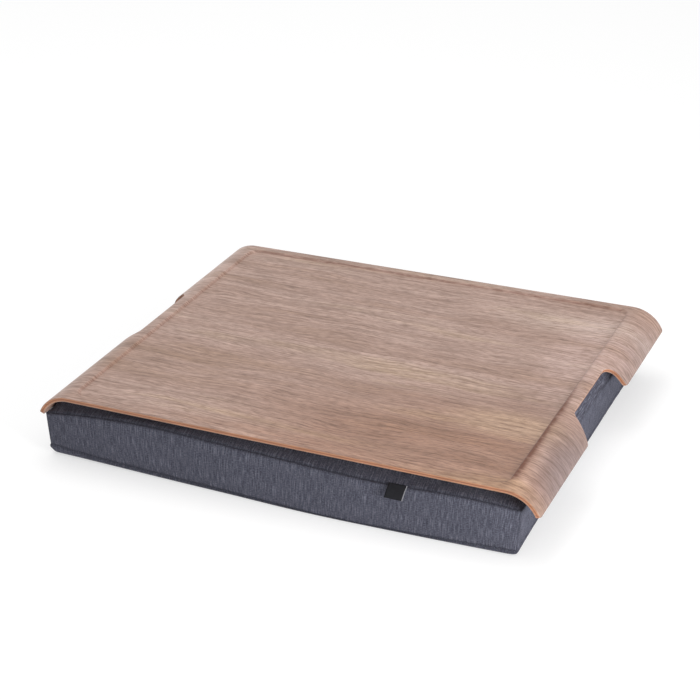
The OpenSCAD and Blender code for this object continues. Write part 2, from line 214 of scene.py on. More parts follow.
cloth_start = {"front": 0.0, "rear": 0.0, "left": 1.0, "right": 2.0, "top": 3.0, "base": 3.0}
inner_bulge = 0.001
bead_size = 0.0035
bead_inset = 0.0042


def graded(half, first, widest):
    """Places from -half to half: first apart at both ends, then wider and wider, up to widest."""
    away = [0.0]
    step = first
    while away[-1] < half:
        away.append(away[-1] + step)
        step = min(step * 1.3, widest)
    away = np.array(away) * half / away[-1]
    return np.concatenate([away - half, (half - away)[-2::-1]])


def swell(share):
    """How full cloth is, from 0 on a seam to 1 past its shoulder."""
    return 1 - (1 - np.clip(share, 0, 1)) ** 2


def smooth_line(along, places, values):
    """A smooth line through these values at these places."""
    places, values = np.array(places), np.array(values)
    slopes = np.gradient(values, places)
    k = np.clip(np.searchsorted(places, along) - 1, 0, len(places) - 2)
    width = places[k + 1] - places[k]
    t = (along - places[k]) / width
    first = (1 + 2 * t) * values[k] + t * width * slopes[k]
    last = (3 - 2 * t) * values[k + 1] + (t - 1) * width * slopes[k + 1]
    return first * (1 - t) ** 2 + last * t ** 2


def sewn_corner(x_side, y_side, upper):
    """A corner of the cover: where its pattern puts it, and how far the sewn corner is off that."""
    half, z, slack = lower_half, lower_seam_z, lower_slack
    if upper:
        half, z, slack = upper_half, upper_seam_z, upper_slack
    pattern = np.array((cushion_x + x_side * half[0], y_side * half[1], z))
    return pattern + np.array(slack[x_side, y_side]) / 1000


def sewn_seam(start, end, along, x=0.0, y=0.0, z=0.0):
    """A seam from corner to corner, bowed by x, y and z millimetres, each a number or an uneven line."""
    share = (along[:, None] + 1) / 2
    bow = [v if isinstance(v, np.ndarray) else v * (1 - along ** 6) for v in (x, y, z)]
    return start + (end - start) * share + np.stack(np.broadcast_arrays(*bow, along)[:3], axis=-1) / 1000


def stretched(u, v, low, high, start, end):
    """Cloth stretched between four seams: low and high run along u, start and end along v."""
    u, v = u[:, None, None], v[None, :, None]
    ruled = (1 - v) * low[:, None] + v * high[:, None] + (1 - u) * start[None] + u * end[None]
    return ruled - (1 - v) * ((1 - u) * low[0] + u * low[-1]) - v * ((1 - u) * high[0] + u * high[-1])


def under_lips(points):
    """Points of the cushion pressed back to just inside the tray's bent lips."""
    _, tray_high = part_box("face_veneer")
    bend_x = tray_high.x - lip_r * math.sin(lip_sweep)
    bend_z = tray_high.z - lip_r
    room = lip_r - sheet_t - lip_room
    out_x = np.clip(np.abs(points[:, 0]) - bend_x, 0, None)
    out_z = points[:, 2] - bend_z
    far = np.hypot(out_x, out_z)
    pressed = (out_x > 0) & (far > room) & (out_z > room * math.cos(lip_sweep))
    share = np.where(pressed, room / np.maximum(far, 1e-9), 1)
    points = points.copy()
    points[:, 0] -= np.sign(points[:, 0]) * out_x * (1 - share)
    points[:, 2] -= np.where(pressed, out_z * (1 - share), 0)
    return points


def hem_height(full):
    """The share of the lower seam's height that is left where the base rolls under, from how full it is."""
    return 1 - (1 - (1 - full) ** 2) ** 0.5


def cushion_form(across, deep, up, bulges, inset=0.0):
    """Points, panels of point numbers and cloth places, seam distances and the lattice of a box cushion.

    across and deep run from -1 to 1 and up from 0 to 1. bulges are the front's, rear's, left's and right's.
    Lines and bows are in millimetres off the straight seam, from the left or front end to the other.
    """
    corner = {
        (x, y, k): sewn_corner(x, y, k) for x in (-1, 1) for y in (-1, 1) for k in (False, True)
    }
    post = {
        (x, y): corner[x, y, False] + (corner[x, y, True] - corner[x, y, False]) * up[:, None]
        for x in (-1, 1) for y in (-1, 1)
    }
    a, b = across, deep
    front_up = smooth_line(a, (-1, -0.85, -0.62, -0.12, 0.45, 0.85, 1), (0, 4.6, 8.2, 5, 0.6, 2.6, 0))
    front_down = smooth_line(a, (-1, -0.8, -0.5, -0.1, 0.3, 0.7, 1), (0, -2.6, -4, -4.8, -5.2, -3, 0))
    front_out = smooth_line(a, (-1, -0.7, -0.2, 0.18, 0.55, 0.85, 1), (0, -1.2, -3.4, -5.6, -3.6, -1.2, 0))
    upper = {
        "front": sewn_seam(corner[-1, -1, True], corner[1, -1, True], a, y=-1.8, z=front_up),
        "rear": sewn_seam(corner[-1, 1, True], corner[1, 1, True], a, y=3, z=3.7),
        "left": sewn_seam(corner[-1, -1, True], corner[-1, 1, True], b, x=1.5, z=1.2),
        "right": sewn_seam(corner[1, -1, True], corner[1, 1, True], b, x=-1.2, z=0.3),
    }
    lower = {
        "front": sewn_seam(corner[-1, -1, False], corner[1, -1, False], a, y=front_out, z=front_down),
        "rear": sewn_seam(corner[-1, 1, False], corner[1, 1, False], a, y=3, z=-2.5),
        "left": sewn_seam(corner[-1, -1, False], corner[-1, 1, False], b, x=2, z=-2.5),
        "right": sewn_seam(corner[1, -1, False], corner[1, 1, False], b, x=-1.5, z=-2),
    }

    skin = np.ones((len(a), len(b), len(up)), bool)
    skin[1:-1, 1:-1, 1:-1] = False
    number = np.full(skin.shape, -1)
    number[skin] = np.arange(skin.sum())
    points = np.zeros((skin.sum(), 3))
    seam = np.zeros(skin.sum())
    panels = {}
    share_a, share_b = (a + 1) / 2, (b + 1) / 2
    off_a, off_b = (1 - np.abs(a)) * upper_half[0], (1 - np.abs(b)) * upper_half[1]
    off_up = np.minimum(up, 1 - up) * side_height

    def add(name, ids, places, off, u, v, turned):
        points[ids] = places
        seam[ids] = off
        cloth = np.stack(np.meshgrid(u, v, indexing="ij"), axis=-1)
        panels[name] = (ids[::-1], cloth[::-1]) if turned else (ids, cloth)

    run_a, run_b = (a, share_a, off_a, upper_half[0]), (b, share_b, off_b, upper_half[1])
    for name, (line, share, off, half), first, last, out, bulge, ids, turned in (
        ("front", run_a, (-1, -1), (1, -1), (0, -1, 0), bulges[0], number[:, 0], False),
        ("rear", run_a, (-1, 1), (1, 1), (0, 1, 0), bulges[1], number[:, -1], True),
        ("left", run_b, (-1, -1), (-1, 1), (-1, 0, 0), bulges[2], number[0], True),
        ("right", run_b, (1, -1), (1, 1), (1, 0, 0), bulges[3], number[-1], False),
    ):
        flat = stretched(share, up, lower[name], upper[name], post[first], post[last])
        full = swell(off / corner_shoulder)[:, None] * swell(off_up / side_shoulder)[None, :]
        flat = flat + bulge * full[..., None] * np.array(out)
        off = np.minimum(off[:, None], off_up[None, :])
        add(name, ids, flat, off, cloth_start[name] + line * half, lower_seam_z + up * side_height, turned)
    for name, rims, shoulders, ids in (
        ("top", upper, (end_shoulder, front_shoulder), number[:, :, -1]),
        ("base", lower, (base_shoulder, base_shoulder), number[:, :, 0]),
    ):
        flat = stretched(share_a, share_b, rims["front"], rims["rear"], rims["left"], rims["right"])
        full = swell(off_a / shoulders[0])[:, None] * swell(off_b / shoulders[1])[None, :]
        off = np.minimum(off_a[:, None], off_b[None, :])
        cloth_a, cloth_b = a * upper_half[0], b * upper_half[1]
        if name == "top":
            full = full ** top_ease
            flat[..., 2] += (top_high.z - flat[..., 2]) * full
        else:
            drop = hem_height(full)
            roll = np.minimum(base_roll, base_roll_share * np.clip(flat[..., 2], 0, None))
            roll = roll * np.sin(math.pi * drop)
            flat[..., 0] += roll * (np.sign(a) * (1 - swell(off_a / shoulders[0])))[:, None]
            flat[..., 1] += roll * (np.sign(b) * (1 - swell(off_b / shoulders[1])))[None, :]
            off = np.hypot(off, flat[..., 2] * (1 - drop))
            flat[..., 2] *= drop
            cloth_a = cloth_a + np.sign(a) * lower_seam_z * hem_height(swell(off_a / shoulders[0]))
            cloth_b = cloth_b + np.sign(b) * lower_seam_z * hem_height(swell(off_b / shoulders[1]))
        add(name, ids, flat, off, cloth_start[name] + cloth_a, cloth_b, name == "base")
    points = under_lips(points)
    size = np.array((*upper_half, top_high.z / 2))
    middle = np.array((cushion_x, 0, size[2]))
    return middle + (points - middle) * (1 - inset / size), panels, seam, number


def panel_quads(ids, cloth):
    """A panel's four-sided faces, as point numbers, and their corners' cloth places."""
    corners = ((slice(None, -1), slice(None, -1)), (slice(1, None), slice(None, -1)),
               (slice(1, None), slice(1, None)), (slice(None, -1), slice(1, None)))
    faces = np.stack([ids[c] for c in corners], axis=-1).reshape(-1, 4)
    places = np.stack([cloth[c] for c in corners], axis=-2).reshape(-1, 4, 2)
    return faces, places


def cloth_mesh(name, points, faces, places, paint):
    """A smooth mesh with these faces, and their cloth places as its UV map."""
    mesh = bpy.data.meshes.new(name)
    mesh.from_pydata(points.tolist(), [], faces.tolist())
    mesh.uv_layers.new(name="UVMap").data.foreach_set("uv", places.reshape(-1))
    mesh.polygons.foreach_set("use_smooth", np.ones(len(faces), bool))
    mesh.materials.append(paint)
    mesh.update()
    return mesh


def piece(name, mesh, body, slot, *nodes):
    """A finished piece that rides on a body and stands for these CAD nodes."""
    made = bpy.data.objects.new(name, mesh)
    scene.collection.objects.link(made)
    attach(made, body)
    if nodes:
        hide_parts(*nodes)
    return made


def new_paint(name, roughness):
    """A new material, its node tree and its main shader."""
    paint = bpy.data.materials.new(name)
    paint.use_nodes = True
    shader = paint.node_tree.nodes["Principled BSDF"]
    shader.inputs["Roughness"].default_value = roughness
    return paint, paint.node_tree, shader


def colour_ramp(tree, factor, *stops):
    """The colour of a ramp with these (place, colour) stops."""
    made = node(tree, "ShaderNodeValToRGB", {"Fac": factor})
    elements = made.color_ramp.elements
    while len(elements) < len(stops):
        elements.new(0.5)
    for element, (place, colour) in zip(elements, stops):
        element.position = place
        element.color = (*colour, 1)
    return made.outputs["Color"]


def coloured(tree, shader, factor, *stops):
    """Colours the shader by a ramp with these stops."""
    tree.links.new(colour_ramp(tree, factor, *stops), shader.inputs["Base Color"])


def object_place(tree):
    """The place on a piece, in metres from its origin."""
    return node(tree, "ShaderNodeTexCoord").outputs["Object"]


def raise_surface(tree, shader, height, distance):
    """Feeds a height into the shader's normal, with this much relief in metres."""
    bump = node(tree, "ShaderNodeBump", {"Height": height, "Distance": distance, "Strength": 1.0})
    tree.links.new(bump.outputs["Normal"], shader.inputs["Normal"])


def closed_cushion(name, inset, paint):
    """A coarse cushion form some way inside the cover."""
    flat_steps = graded(1, 0.02, 0.06)
    up_steps = (graded(1, 0.1, 0.3) + 1) / 2
    points, panels, _, _ = cushion_form(flat_steps, flat_steps, up_steps, (inner_bulge,) * 4, inset=inset)
    quads = [panel_quads(*panel) for panel in panels.values()]
    return cloth_mesh(name, points, *map(np.concatenate, zip(*quads)), paint)


bead_paint, bead_tree, bead_shader = new_paint("bead_white", 0.6)
bead_off = node(
    bead_tree, "ShaderNodeTexVoronoi", {"Vector": object_place(bead_tree), "Scale": 1 / bead_size}
).outputs["Distance"]
# The beads are painted greyer towards their rims: painted shade between the beads.
coloured(bead_tree, bead_shader, bead_off, (0.1, (0.9, 0.9, 0.88)), (0.75, (0.55, 0.55, 0.54)))
raise_surface(bead_tree, bead_shader, calc(bead_tree, "SUBTRACT", 1.0, bead_off), bead_size / 2)
bead_mesh = closed_cushion("bead_mass", bead_inset, bead_paint)
bead_mass = piece("bead_mass", bead_mesh, "cushion", "beads", "bead_fill")


# Lining bag: plain white cloth in two halves, sewn together around the beads.
# Nothing of it shows while the zip is shut.
lining_thread = 0.0005
lining_inset = 0.003


def new_group(name, kind, inputs, outputs):
    """A new node group with these sockets, by name and type, and what it is given."""
    tree = bpy.data.node_groups.new(name, kind)
    for way, sockets in (("INPUT", inputs), ("OUTPUT", outputs)):
        for label, socket in sockets.items():
            tree.interface.new_socket(label, in_out=way, socket_type="NodeSocket" + socket)
    return tree, node(tree, "NodeGroupInput").outputs


def plain_weave():
    """A shader group: threads over and under each other on a cloth's own places, in metres."""
    inputs, outputs = {"Place": "Vector", "Thread": "Float"}, {"Height": "Float", "Warp On Top": "Float"}
    tree, given = new_group("plain_weave", "ShaderNodeTree", inputs, outputs)
    half_turns = calc(tree, "DIVIDE", math.pi, given["Thread"])
    place = parts(tree, given["Place"])
    warp = calc(tree, "SINE", calc(tree, "MULTIPLY", place["X"], half_turns))
    weft = calc(tree, "SINE", calc(tree, "MULTIPLY", place["Y"], half_turns))
    over = calc(tree, "MULTIPLY_ADD", calc(tree, "MULTIPLY", warp, weft), 2.0, 0.5)
    over = node(tree, "ShaderNodeClamp", {"Value": over}).outputs[0]
    heights = {"Factor": over, "A": calc(tree, "ABSOLUTE", weft), "B": calc(tree, "ABSOLUTE", warp)}
    height = node(tree, "ShaderNodeMix", heights).outputs[0]
    node(tree, "NodeGroupOutput", {"Height": height, "Warp On Top": over})
    return tree


weave_group = plain_weave()


def woven(tree, thread):
    """The weave group in a material, on the piece's own UV map."""
    place = node(tree, "ShaderNodeUVMap", uv_map="UVMap").outputs["UV"]
    made = node(tree, "ShaderNodeGroup", {"Place": place, "Thread": thread}, node_tree=weave_group)
    return place, made.outputs


def woven_paint(name, roughness, thread, relief, *stops):
    """A plain woven material in its threads' tones, with painted shade where the threads dip under each
    other, and this much relief in metres.
    """
    paint, tree, shader = new_paint(name, roughness)
    height = woven(tree, thread)[1]["Height"]
    coloured(tree, shader, height, *stops)
    raise_surface(tree, shader, height, relief)
    return paint


lining_paint = woven_paint(
    "lining_white", 0.9, lining_thread, lining_thread / 3,
    (0, (0.55, 0.54, 0.5)), (0.7, (0.78, 0.77, 0.73)),
)
lining_mesh = closed_cushion("lining_bag", lining_inset, lining_paint)
lining_bag = piece(
    "lining_bag", lining_mesh, "cushion", "lining_fabric", "inner_bag_upper", "inner_bag_lower"
)


# Cushion cover: grey melange cloth, cut as a top, a base and four side panels and sewn at their edges.
# The seams pull the cloth in, the corners draw back, and the front is fullest low down, where the
# beads settle. The rear panel has a slot for the zip, with its edges turned in.
cover_thread = 0.00055
fullness = (0.0012, 0.0015, 0.0005, 0.0)
seam_step, cloth_step = 0.0004, 0.004
side_seam_step, side_step = 0.0008, 0.006
seam_depth, seam_width = 0.001, 0.0008
seam_roll, seam_roll_at, seam_roll_width = 0.0004, 0.003, 0.0016
seam_dark, lower_seam_dark, seam_dark_width = 0.6, 0.35, 0.0016
seam_shade_colour = (0.02, 0.02, 0.028)
sway_height, sway_per_metre, sway_stretch, sway_from_seam = 0.0009, 17, (1, 1, 0.6), 0.02
pucker_height, pucker_per_metre, pucker_stretch, pucker_reach = 0.0005, 95, (1, 1, 0.15), 0.007
slot_half = np.array((0.1545, 0.0045))
slot_turn_in = 0.0016
slot_clear, slot_fade = 0.01, 0.02
notch_y = 0.006
hold_reach = 0.055
hold_ease = 0.8
trial_counts = (76, 61, 9)
trial_pressure = 4.0
trial_frames = 20
trial_slack = 0.012
trial_most = 0.005
trial_easing = 8
yarn_dark, yarn_mid, yarn_light = (0.045, 0.046, 0.063), (0.086, 0.087, 0.116), (0.24, 0.246, 0.308)
warp_slub, weft_slub = (0.0006, 0.012), (0.0024, 0.0007)
warp_least, warp_more = 0.35, 0.5
zip_middle_z = (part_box("zip_slider")[0].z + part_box("zip_slider")[1].z) / 2


def cloth_noise(points, scale, seed):
    """Smooth noise from -1 to 1 at each point."""
    offset = Vector((seed * 7.3, seed * 3.1, seed * 5.7))
    return np.array([noise.noise(Vector(p) * scale + offset) for p in points])


def point_normals(points, faces):
    """The outward direction at each point, from the faces round it."""
    corner = points[faces]
    flat = np.cross(corner[:, 2] - corner[:, 0], corner[:, 3] - corner[:, 1])
    total = np.zeros_like(points)
    for k in range(4):
        np.add.at(total, faces[:, k], flat)
    return total / np.linalg.norm(total, axis=1, keepdims=True)


slot_up = (zip_middle_z + np.array((-1, 1)) * slot_half[1] - lower_seam_z) / side_height
across, deep = [graded(1, seam_step / half, cloth_step / half) for half in upper_half]
across = np.union1d(across, np.array((-1, 1)) * slot_half[0] / upper_half[0])
up = np.union1d((graded(1, side_seam_step / side_height, side_step / side_height) + 1) / 2, slot_up)
points, panels, seam, number = cushion_form(across, deep, up, fullness)


def blown_up(points, faces, free):
    """How far each point of a closed cloth goes when it is blown up, with all but the free points held."""
    mesh = bpy.data.meshes.new("cloth_trial")
    mesh.from_pydata(points.tolist(), [], faces.tolist())
    trial = bpy.data.objects.new("cloth_trial", mesh)
    scene.collection.objects.link(trial)
    trial.vertex_groups.new(name="held").add(np.flatnonzero(~free).tolist(), 1.0, "REPLACE")
    cloth = trial.modifiers.new("cloth", "CLOTH")
    cloth.settings.vertex_group_mass = "held"
    cloth.settings.use_pressure = True
    cloth.settings.uniform_pressure_force = trial_pressure
    cloth.settings.effector_weights.gravity = 0
    cloth.settings.shrink_min = -trial_slack
    cloth.collision_settings.use_collision = False
    for moment in range(1, trial_frames + 1):
        scene.frame_set(moment)
    settled = trial.evaluated_get(bpy.context.evaluated_depsgraph_get()).data
    moved = np.empty(points.size, np.float32)
    settled.vertices.foreach_get("co", moved)
    moved = moved.reshape(-1, 3) - points
    scene.frame_set(1)
    bpy.data.objects.remove(trial)
    far = np.linalg.norm(moved, axis=1, keepdims=True)
    return moved * np.minimum(1, trial_most / np.maximum(far, 1e-9))


def eased(values, times):
    """Moves on a lattice evened out with their neighbours, with the lattice's rim held."""
    values = values.copy()
    for _ in range(times):
        beside = values[:-2, 1:-1] + values[2:, 1:-1] + values[1:-1, :-2] + values[1:-1, 2:]
        values[1:-1, 1:-1] = values[1:-1, 1:-1] / 2 + beside / 8
    return values


def read_off(values, first, second, fine_first, fine_second):
    """Values on a lattice, read off on a finer one."""
    part = np.apply_along_axis(lambda line: np.interp(fine_first, first, line), 0, values)
    return np.apply_along_axis(lambda line: np.interp(fine_second, second, line), 1, part)


wide_across, wide_deep = [np.linspace(-1, 1, count) for count in trial_counts[:2]]
wide_up = np.linspace(0, 1, trial_counts[2])
wide_points, wide_panels, _, wide = cushion_form(wide_across, wide_deep, wide_up, fullness)
free = np.zeros(len(wide_points), bool)
for side in (wide[:, 0], wide[0], wide[-1]):
    free[side[1:-1, 1:-1]] = True
wide_faces = np.concatenate([panel_quads(*panel)[0] for panel in wide_panels.values()])
moved = blown_up(wide_points, wide_faces, free)
for coarse, line, fine, fine_line in (
    (wide[:, 0], wide_across, number[:, 0], across),
    (wide[0], wide_deep, number[0], deep),
    (wide[-1], wide_deep, number[-1], deep),
):
    points[fine] += read_off(eased(moved[coarse], trial_easing), line, wide_up, fine_line, up)

quads = {name: panel_quads(*panel) for name, panel in panels.items()}
all_faces = np.concatenate([q[0] for q in quads.values()])
outward = point_normals(points, all_faces)
on_side = (points[:, 2] > lower_seam_z * 0.5) & (points[:, 2] < (upper_seam_z + top_high.z) / 2)
beside_slot = np.abs(points[:, 0] - cushion_x) - slot_half[0]
clear_of_zip = np.where(points[:, 1] > 0, np.clip((beside_slot - slot_clear) / slot_fade, 0, 1), 1)
sway = sway_height * cloth_noise(points * sway_stretch, sway_per_metre, 1)
sway = sway * np.clip(seam / sway_from_seam, 0, 1)
pucker = pucker_height * cloth_noise(points * pucker_stretch, pucker_per_metre, 2)
pucker = pucker * np.exp(-seam / pucker_reach)
points = points + outward * ((sway + pucker) * on_side * clear_of_zip)[:, None]

outward = point_normals(points, all_faces)
at_hand_hold = np.exp(-(((points[:, 1] - notch_y) / hold_reach) ** 2))
at_hand_hold = at_hand_hold * (np.abs(points[:, 0]) > upper_half[0] / 2)
sewn_tight = 1 - hold_ease * at_hand_hold * (points[:, 2] > side_height / 2)
groove = seam_roll * np.exp(-(((seam - seam_roll_at) / seam_roll_width) ** 2))
groove = groove - seam_depth * np.exp(-((seam / seam_width) ** 2))
points = points + outward * (groove * sewn_tight)[:, None]
points[:, 2] = np.maximum(points[:, 2], 0.0)

slot_i = np.flatnonzero(np.abs(across * upper_half[0]) < slot_half[0] + 1e-6)
slot_k = np.flatnonzero((up > slot_up[0] - 1e-6) & (up < slot_up[1] + 1e-6))
in_slot = np.zeros(len(points), bool)
in_slot[number[slot_i[0]:slot_i[-1] + 1, -1, slot_k[0]:slot_k[-1] + 1]] = True
rear_faces, rear_places = quads["rear"]
kept = ~in_slot[rear_faces].all(axis=1)
quads["rear"] = (rear_faces[kept], rear_places[kept])

cover_paint, cover_tree, cover_shader = new_paint("grey_melange", 0.92)
cover_place, cover_weave = woven(cover_tree, cover_thread)


def vector(tree, operation, *values):
    """The output of a Vector Math node on these values or sockets."""
    return node(tree, "ShaderNodeVectorMath", dict(enumerate(values)), operation=operation).outputs[0]


def tinted(tree, factor, first, second, way="MIX"):
    """Two colours mixed by a factor; a colour is a value or a socket."""
    colours = [c if isinstance(c, bpy.types.NodeSocket) else (*c, 1) for c in (first, second)]
    values = {"Factor": factor, 6: colours[0], 7: colours[1]}
    return node(tree, "ShaderNodeMix", values, data_type="RGBA", blend_type=way).outputs[2]


def yarn_colour(slub, detail):
    """The colour of a yarn whose tone changes over a slub's length and across its width, in metres."""
    place = vector(cover_tree, "MULTIPLY", cover_place, (1 / slub[0], 1 / slub[1], 1))
    values = {"Vector": place, "Scale": 1.0, "Detail": detail}
    tone = node(cover_tree, "ShaderNodeTexNoise", values).outputs["Fac"]
    return colour_ramp(cover_tree, tone, (0.31, yarn_dark), (0.5, yarn_mid), (0.68, yarn_light))


warp_colour = yarn_colour(warp_slub, 4.0)
weft_colour = yarn_colour(weft_slub, 3.0)
warp_share = calc(cover_tree, "MULTIPLY_ADD", cover_weave["Warp On Top"], warp_more, warp_least)
seam_shade = node(cover_tree, "ShaderNodeAttribute", attribute_name="seam_shade").outputs["Fac"]
cover_colour = tinted(cover_tree, warp_share, weft_colour, warp_colour)
# The seams' painted shade and dark thread go over the yarn colour.
cover_colour = tinted(cover_tree, seam_shade, cover_colour, seam_shade_colour)
cover_tree.links.new(cover_colour, cover_shader.inputs["Base Color"])
cover_shader.inputs["Specular IOR Level"].default_value = 0.1
raise_surface(cover_tree, cover_shader, cover_weave["Height"], cover_thread / 2)

cover_mesh = cloth_mesh("cushion_cover", points, *map(np.concatenate, zip(*quads.values())), cover_paint)
seam_mark = cover_mesh.attributes.new("seam_shade", "FLOAT", "POINT")
# The cloth is painted darker along its seams: partly the dark thread, partly painted shade in the seams'
# grooves, and less where the seam lies open at the hand holds.
seam_shades = np.where(points[:, 2] < side_height / 2, lower_seam_dark, seam_dark)
seam_shades = seam_shades * sewn_tight * np.exp(-((seam / seam_dark_width) ** 2))
seam_mark.data.foreach_set("value", seam_shades.astype(np.float32))
cover_bm = bmesh.new()
cover_bm.from_mesh(cover_mesh)
bmesh.ops.delete(cover_bm, geom=[v for v in cover_bm.verts if not v.link_faces], context="VERTS")
slot_rim = [e for e in cover_bm.edges if e.is_boundary]
for part in bmesh.ops.extrude_edge_only(cover_bm, edges=slot_rim)["geom"]:
    if isinstance(part, bmesh.types.BMVert):
        part.co.y -= slot_turn_in
cover_bm.to_mesh(cover_mesh)
cover_bm.free()
cushion_cover = piece(
    "cushion_cover", cover_mesh, "cushion", "cover_fabric",
    "top_panel", "front_panel", "rear_panel", "left_panel", "right_panel", "base_panel",
)


# Label: a black ribbon, folded double and caught in the front panel's upper seam.
# It is stiff enough to stand off the cloth as it hangs, and is left bare.
label_low, label_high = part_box("side_label")
label_ply = 0.00035
label_length = 0.0108
label_lean = math.radians(40)
label_bow = 0.0006
label_tuck = 0.0016
label_skew = 0.0015
label_drawn_in = 0.0022
label_out_of_seam = np.array((-0.0012, 0.0008))
label_edge = 0.0005
label_edge_colour = (0.24, 0.24, 0.26)
ribbon_thread = 0.0003


def thicken(made, thickness):
    """Gives a cloth piece its thickness, half of it on each side."""
    wall = made.modifiers.new("thickness", "SOLIDIFY")
    wall.thickness = thickness
    wall.offset = 0


label_mid_x = (label_low.x + label_drawn_in + label_high.x) / 2
label_half = (label_high.x - label_low.x - label_drawn_in) / 2
label_root = points[number[np.argmin(np.abs(across * upper_half[0] + cushion_x - label_mid_x)), 0, -1]]
label_down = np.array((-math.sin(label_lean), -math.cos(label_lean)))
label_out = np.array((-math.cos(label_lean), math.sin(label_lean)))
fold_r = label_ply * 0.9
fold_turn = np.linspace(0, math.pi, 9)[1:-1, None]
ribbon_down = np.linspace(-label_tuck, label_length, 12)[:, None]
ribbon_bow = label_bow * np.sin(np.clip(ribbon_down / label_length, 0, 1) * math.pi) * label_out
ribbon_line = label_root[1:] + label_out_of_seam + np.concatenate([
    ribbon_down * label_down + ribbon_bow,
    (label_length + fold_r * np.sin(fold_turn)) * label_down - fold_r * (1 - np.cos(fold_turn)) * label_out,
    (ribbon_down * label_down + ribbon_bow)[::-1] - 2 * fold_r * label_out,
])
ribbon_x = np.linspace(-1, 1, 15)
ribbon_run = np.concatenate([[0], np.cumsum(np.hypot(*np.diff(ribbon_line, axis=0).T))])
ribbon_drop = (ribbon_line[:1, 1:] - ribbon_line[:, 1:]) / label_length
ribbon_side = label_mid_x + ribbon_x[None, :] * label_half - label_skew * ribbon_drop
ribbon_points = np.stack(np.broadcast_arrays(ribbon_side, ribbon_line[:, :1], ribbon_line[:, 1:]), axis=-1)
ribbon_places = np.stack(np.broadcast_arrays(ribbon_x[None, :] * label_half, ribbon_run[:, None]), axis=-1)
label_paint, label_tree, label_shader = new_paint("black_ribbon", 0.75)
label_place, label_weave = woven(label_tree, ribbon_thread)
pale_edge = calc(label_tree, "GREATER_THAN", parts(label_tree, label_place)["X"], label_half - label_edge)
label_height = label_weave["Height"]
# The ribbon is painted darker where its threads dip under each other: painted shade.
label_colour = colour_ramp(label_tree, label_height, (0, (0.006, 0.006, 0.008)), (1, (0.022, 0.022, 0.026)))
label_colour = tinted(label_tree, pale_edge, label_colour, label_edge_colour)
label_tree.links.new(label_colour, label_shader.inputs["Base Color"])
label_shader.inputs["Specular IOR Level"].default_value = 0.12
raise_surface(label_tree, label_shader, label_height, ribbon_thread / 3)
ribbon_numbers = np.arange(ribbon_points[..., 0].size).reshape(ribbon_points.shape[:2])
ribbon_faces, ribbon_corners = panel_quads(ribbon_numbers, ribbon_places)
ribbon_points = ribbon_points.reshape(-1, 3)
label_mesh = cloth_mesh("label_ribbon", ribbon_points, ribbon_faces, ribbon_corners, label_paint)
label_ribbon = piece("label_ribbon", label_mesh, "cushion", "label_fabric", "side_label")
thicken(label_ribbon, label_ply)


# Zip tapes: two woven black tapes behind the rear panel's slot, sewn to its turned-in edges.
# A row of stitches on the cloth follows each long edge of the slot.
tape_thread = 0.0004
tape_t = 0.0006
stitch_pitch = 0.0032
stitch_length = 0.0026
stitch_r = 0.00028
stitch_off = 0.0022
stitch_colour = (0.11, 0.11, 0.13)
tape_paint = woven_paint(
    "black_zip_tape", 0.85, tape_thread, tape_thread / 2,
    (0, (0.005, 0.005, 0.006)), (1, (0.024, 0.024, 0.027)),
)


def tape_strip(name, node_name):
    """A woven tape in a CAD node's place, with a thin rounded edge."""
    low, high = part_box(node_name)
    xs = graded((high.x - low.x) / 2, 0.0003, 0.006) + (low.x + high.x) / 2
    zs = graded((high.z - low.z) / 2, 0.0003, 0.002) + (low.z + high.z) / 2
    ids = np.arange(len(xs) * len(zs)).reshape(len(xs), len(zs))
    grid_x, grid_z = np.meshgrid(xs, zs, indexing="ij")
    lean = (high.y - low.y - tape_t) * np.clip((grid_z - low.z) / (high.z - low.z), 0, 1)
    strip = np.stack([grid_x, low.y + tape_t / 2 + lean, grid_z], axis=-1)
    faces, places = panel_quads(ids[::-1], np.stack([grid_x, grid_z], axis=-1)[::-1])
    mesh = cloth_mesh(name, strip.reshape(-1, 3), faces, places, tape_paint)
    made = piece(name, mesh, "cushion", "zip_tape_fabric", node_name)
    thicken(made, tape_t)


tape_strip("zip_tape_above", "zip_tape_upper")
tape_strip("zip_tape_below", "zip_tape_lower")

stitch_paint, thread_tree, thread_shader = new_paint("grey_thread", 0.7)
thread_twist = node(
    thread_tree,
    "ShaderNodeTexWave",
    {"Vector": object_place(thread_tree), "Scale": 900.0, "Distortion": 0.5},
    bands_direction="DIAGONAL",
).outputs["Fac"]
thread_shade = tuple(0.6 * c for c in stitch_colour)
coloured(thread_tree, thread_shader, thread_twist, (0, thread_shade), (1, stitch_colour))
raise_surface(thread_tree, thread_shader, thread_twist, 0.0001)


def new_nodes(name, **sizes):
    """A Geometry Nodes tree that takes and gives a geometry, with named inputs for its sizes."""
    shape = {"Geometry": "Geometry"}
    return new_group(name, "GeometryNodeTree", {**shape, **sizes}, shape)


def spaced(tree, given):
    """Points at every pitch along each line of the mesh that the tree is given."""
    line = node(tree, "GeometryNodeMeshToCurve", {"Mesh": given["Geometry"]}).outputs["Curve"]
    values = {"Curve": line, "Length": given["Pitch"]}
    return node(tree, "GeometryNodeResampleCurve", values, mode="LENGTH").outputs[0]


def laid_out(tree, points, instance, paint, **turn):
    """Ends the tree with smooth copies of the instance on the points, in one material."""
    values = {"Points": points, "Instance": instance.outputs[0], **turn}
    made = node(tree, "GeometryNodeInstanceOnPoints", values)
    for kind in ("GeometryNodeRealizeInstances", "GeometryNodeSetShadeSmooth", "GeometryNodeSetMaterial"):
        made = node(tree, kind, {"Geometry": made.outputs[0]})
    tree.links.new(paint, made.inputs["Material"])
    node(tree, "NodeGroupOutput", {"Geometry": made.outputs[0]})
    return tree


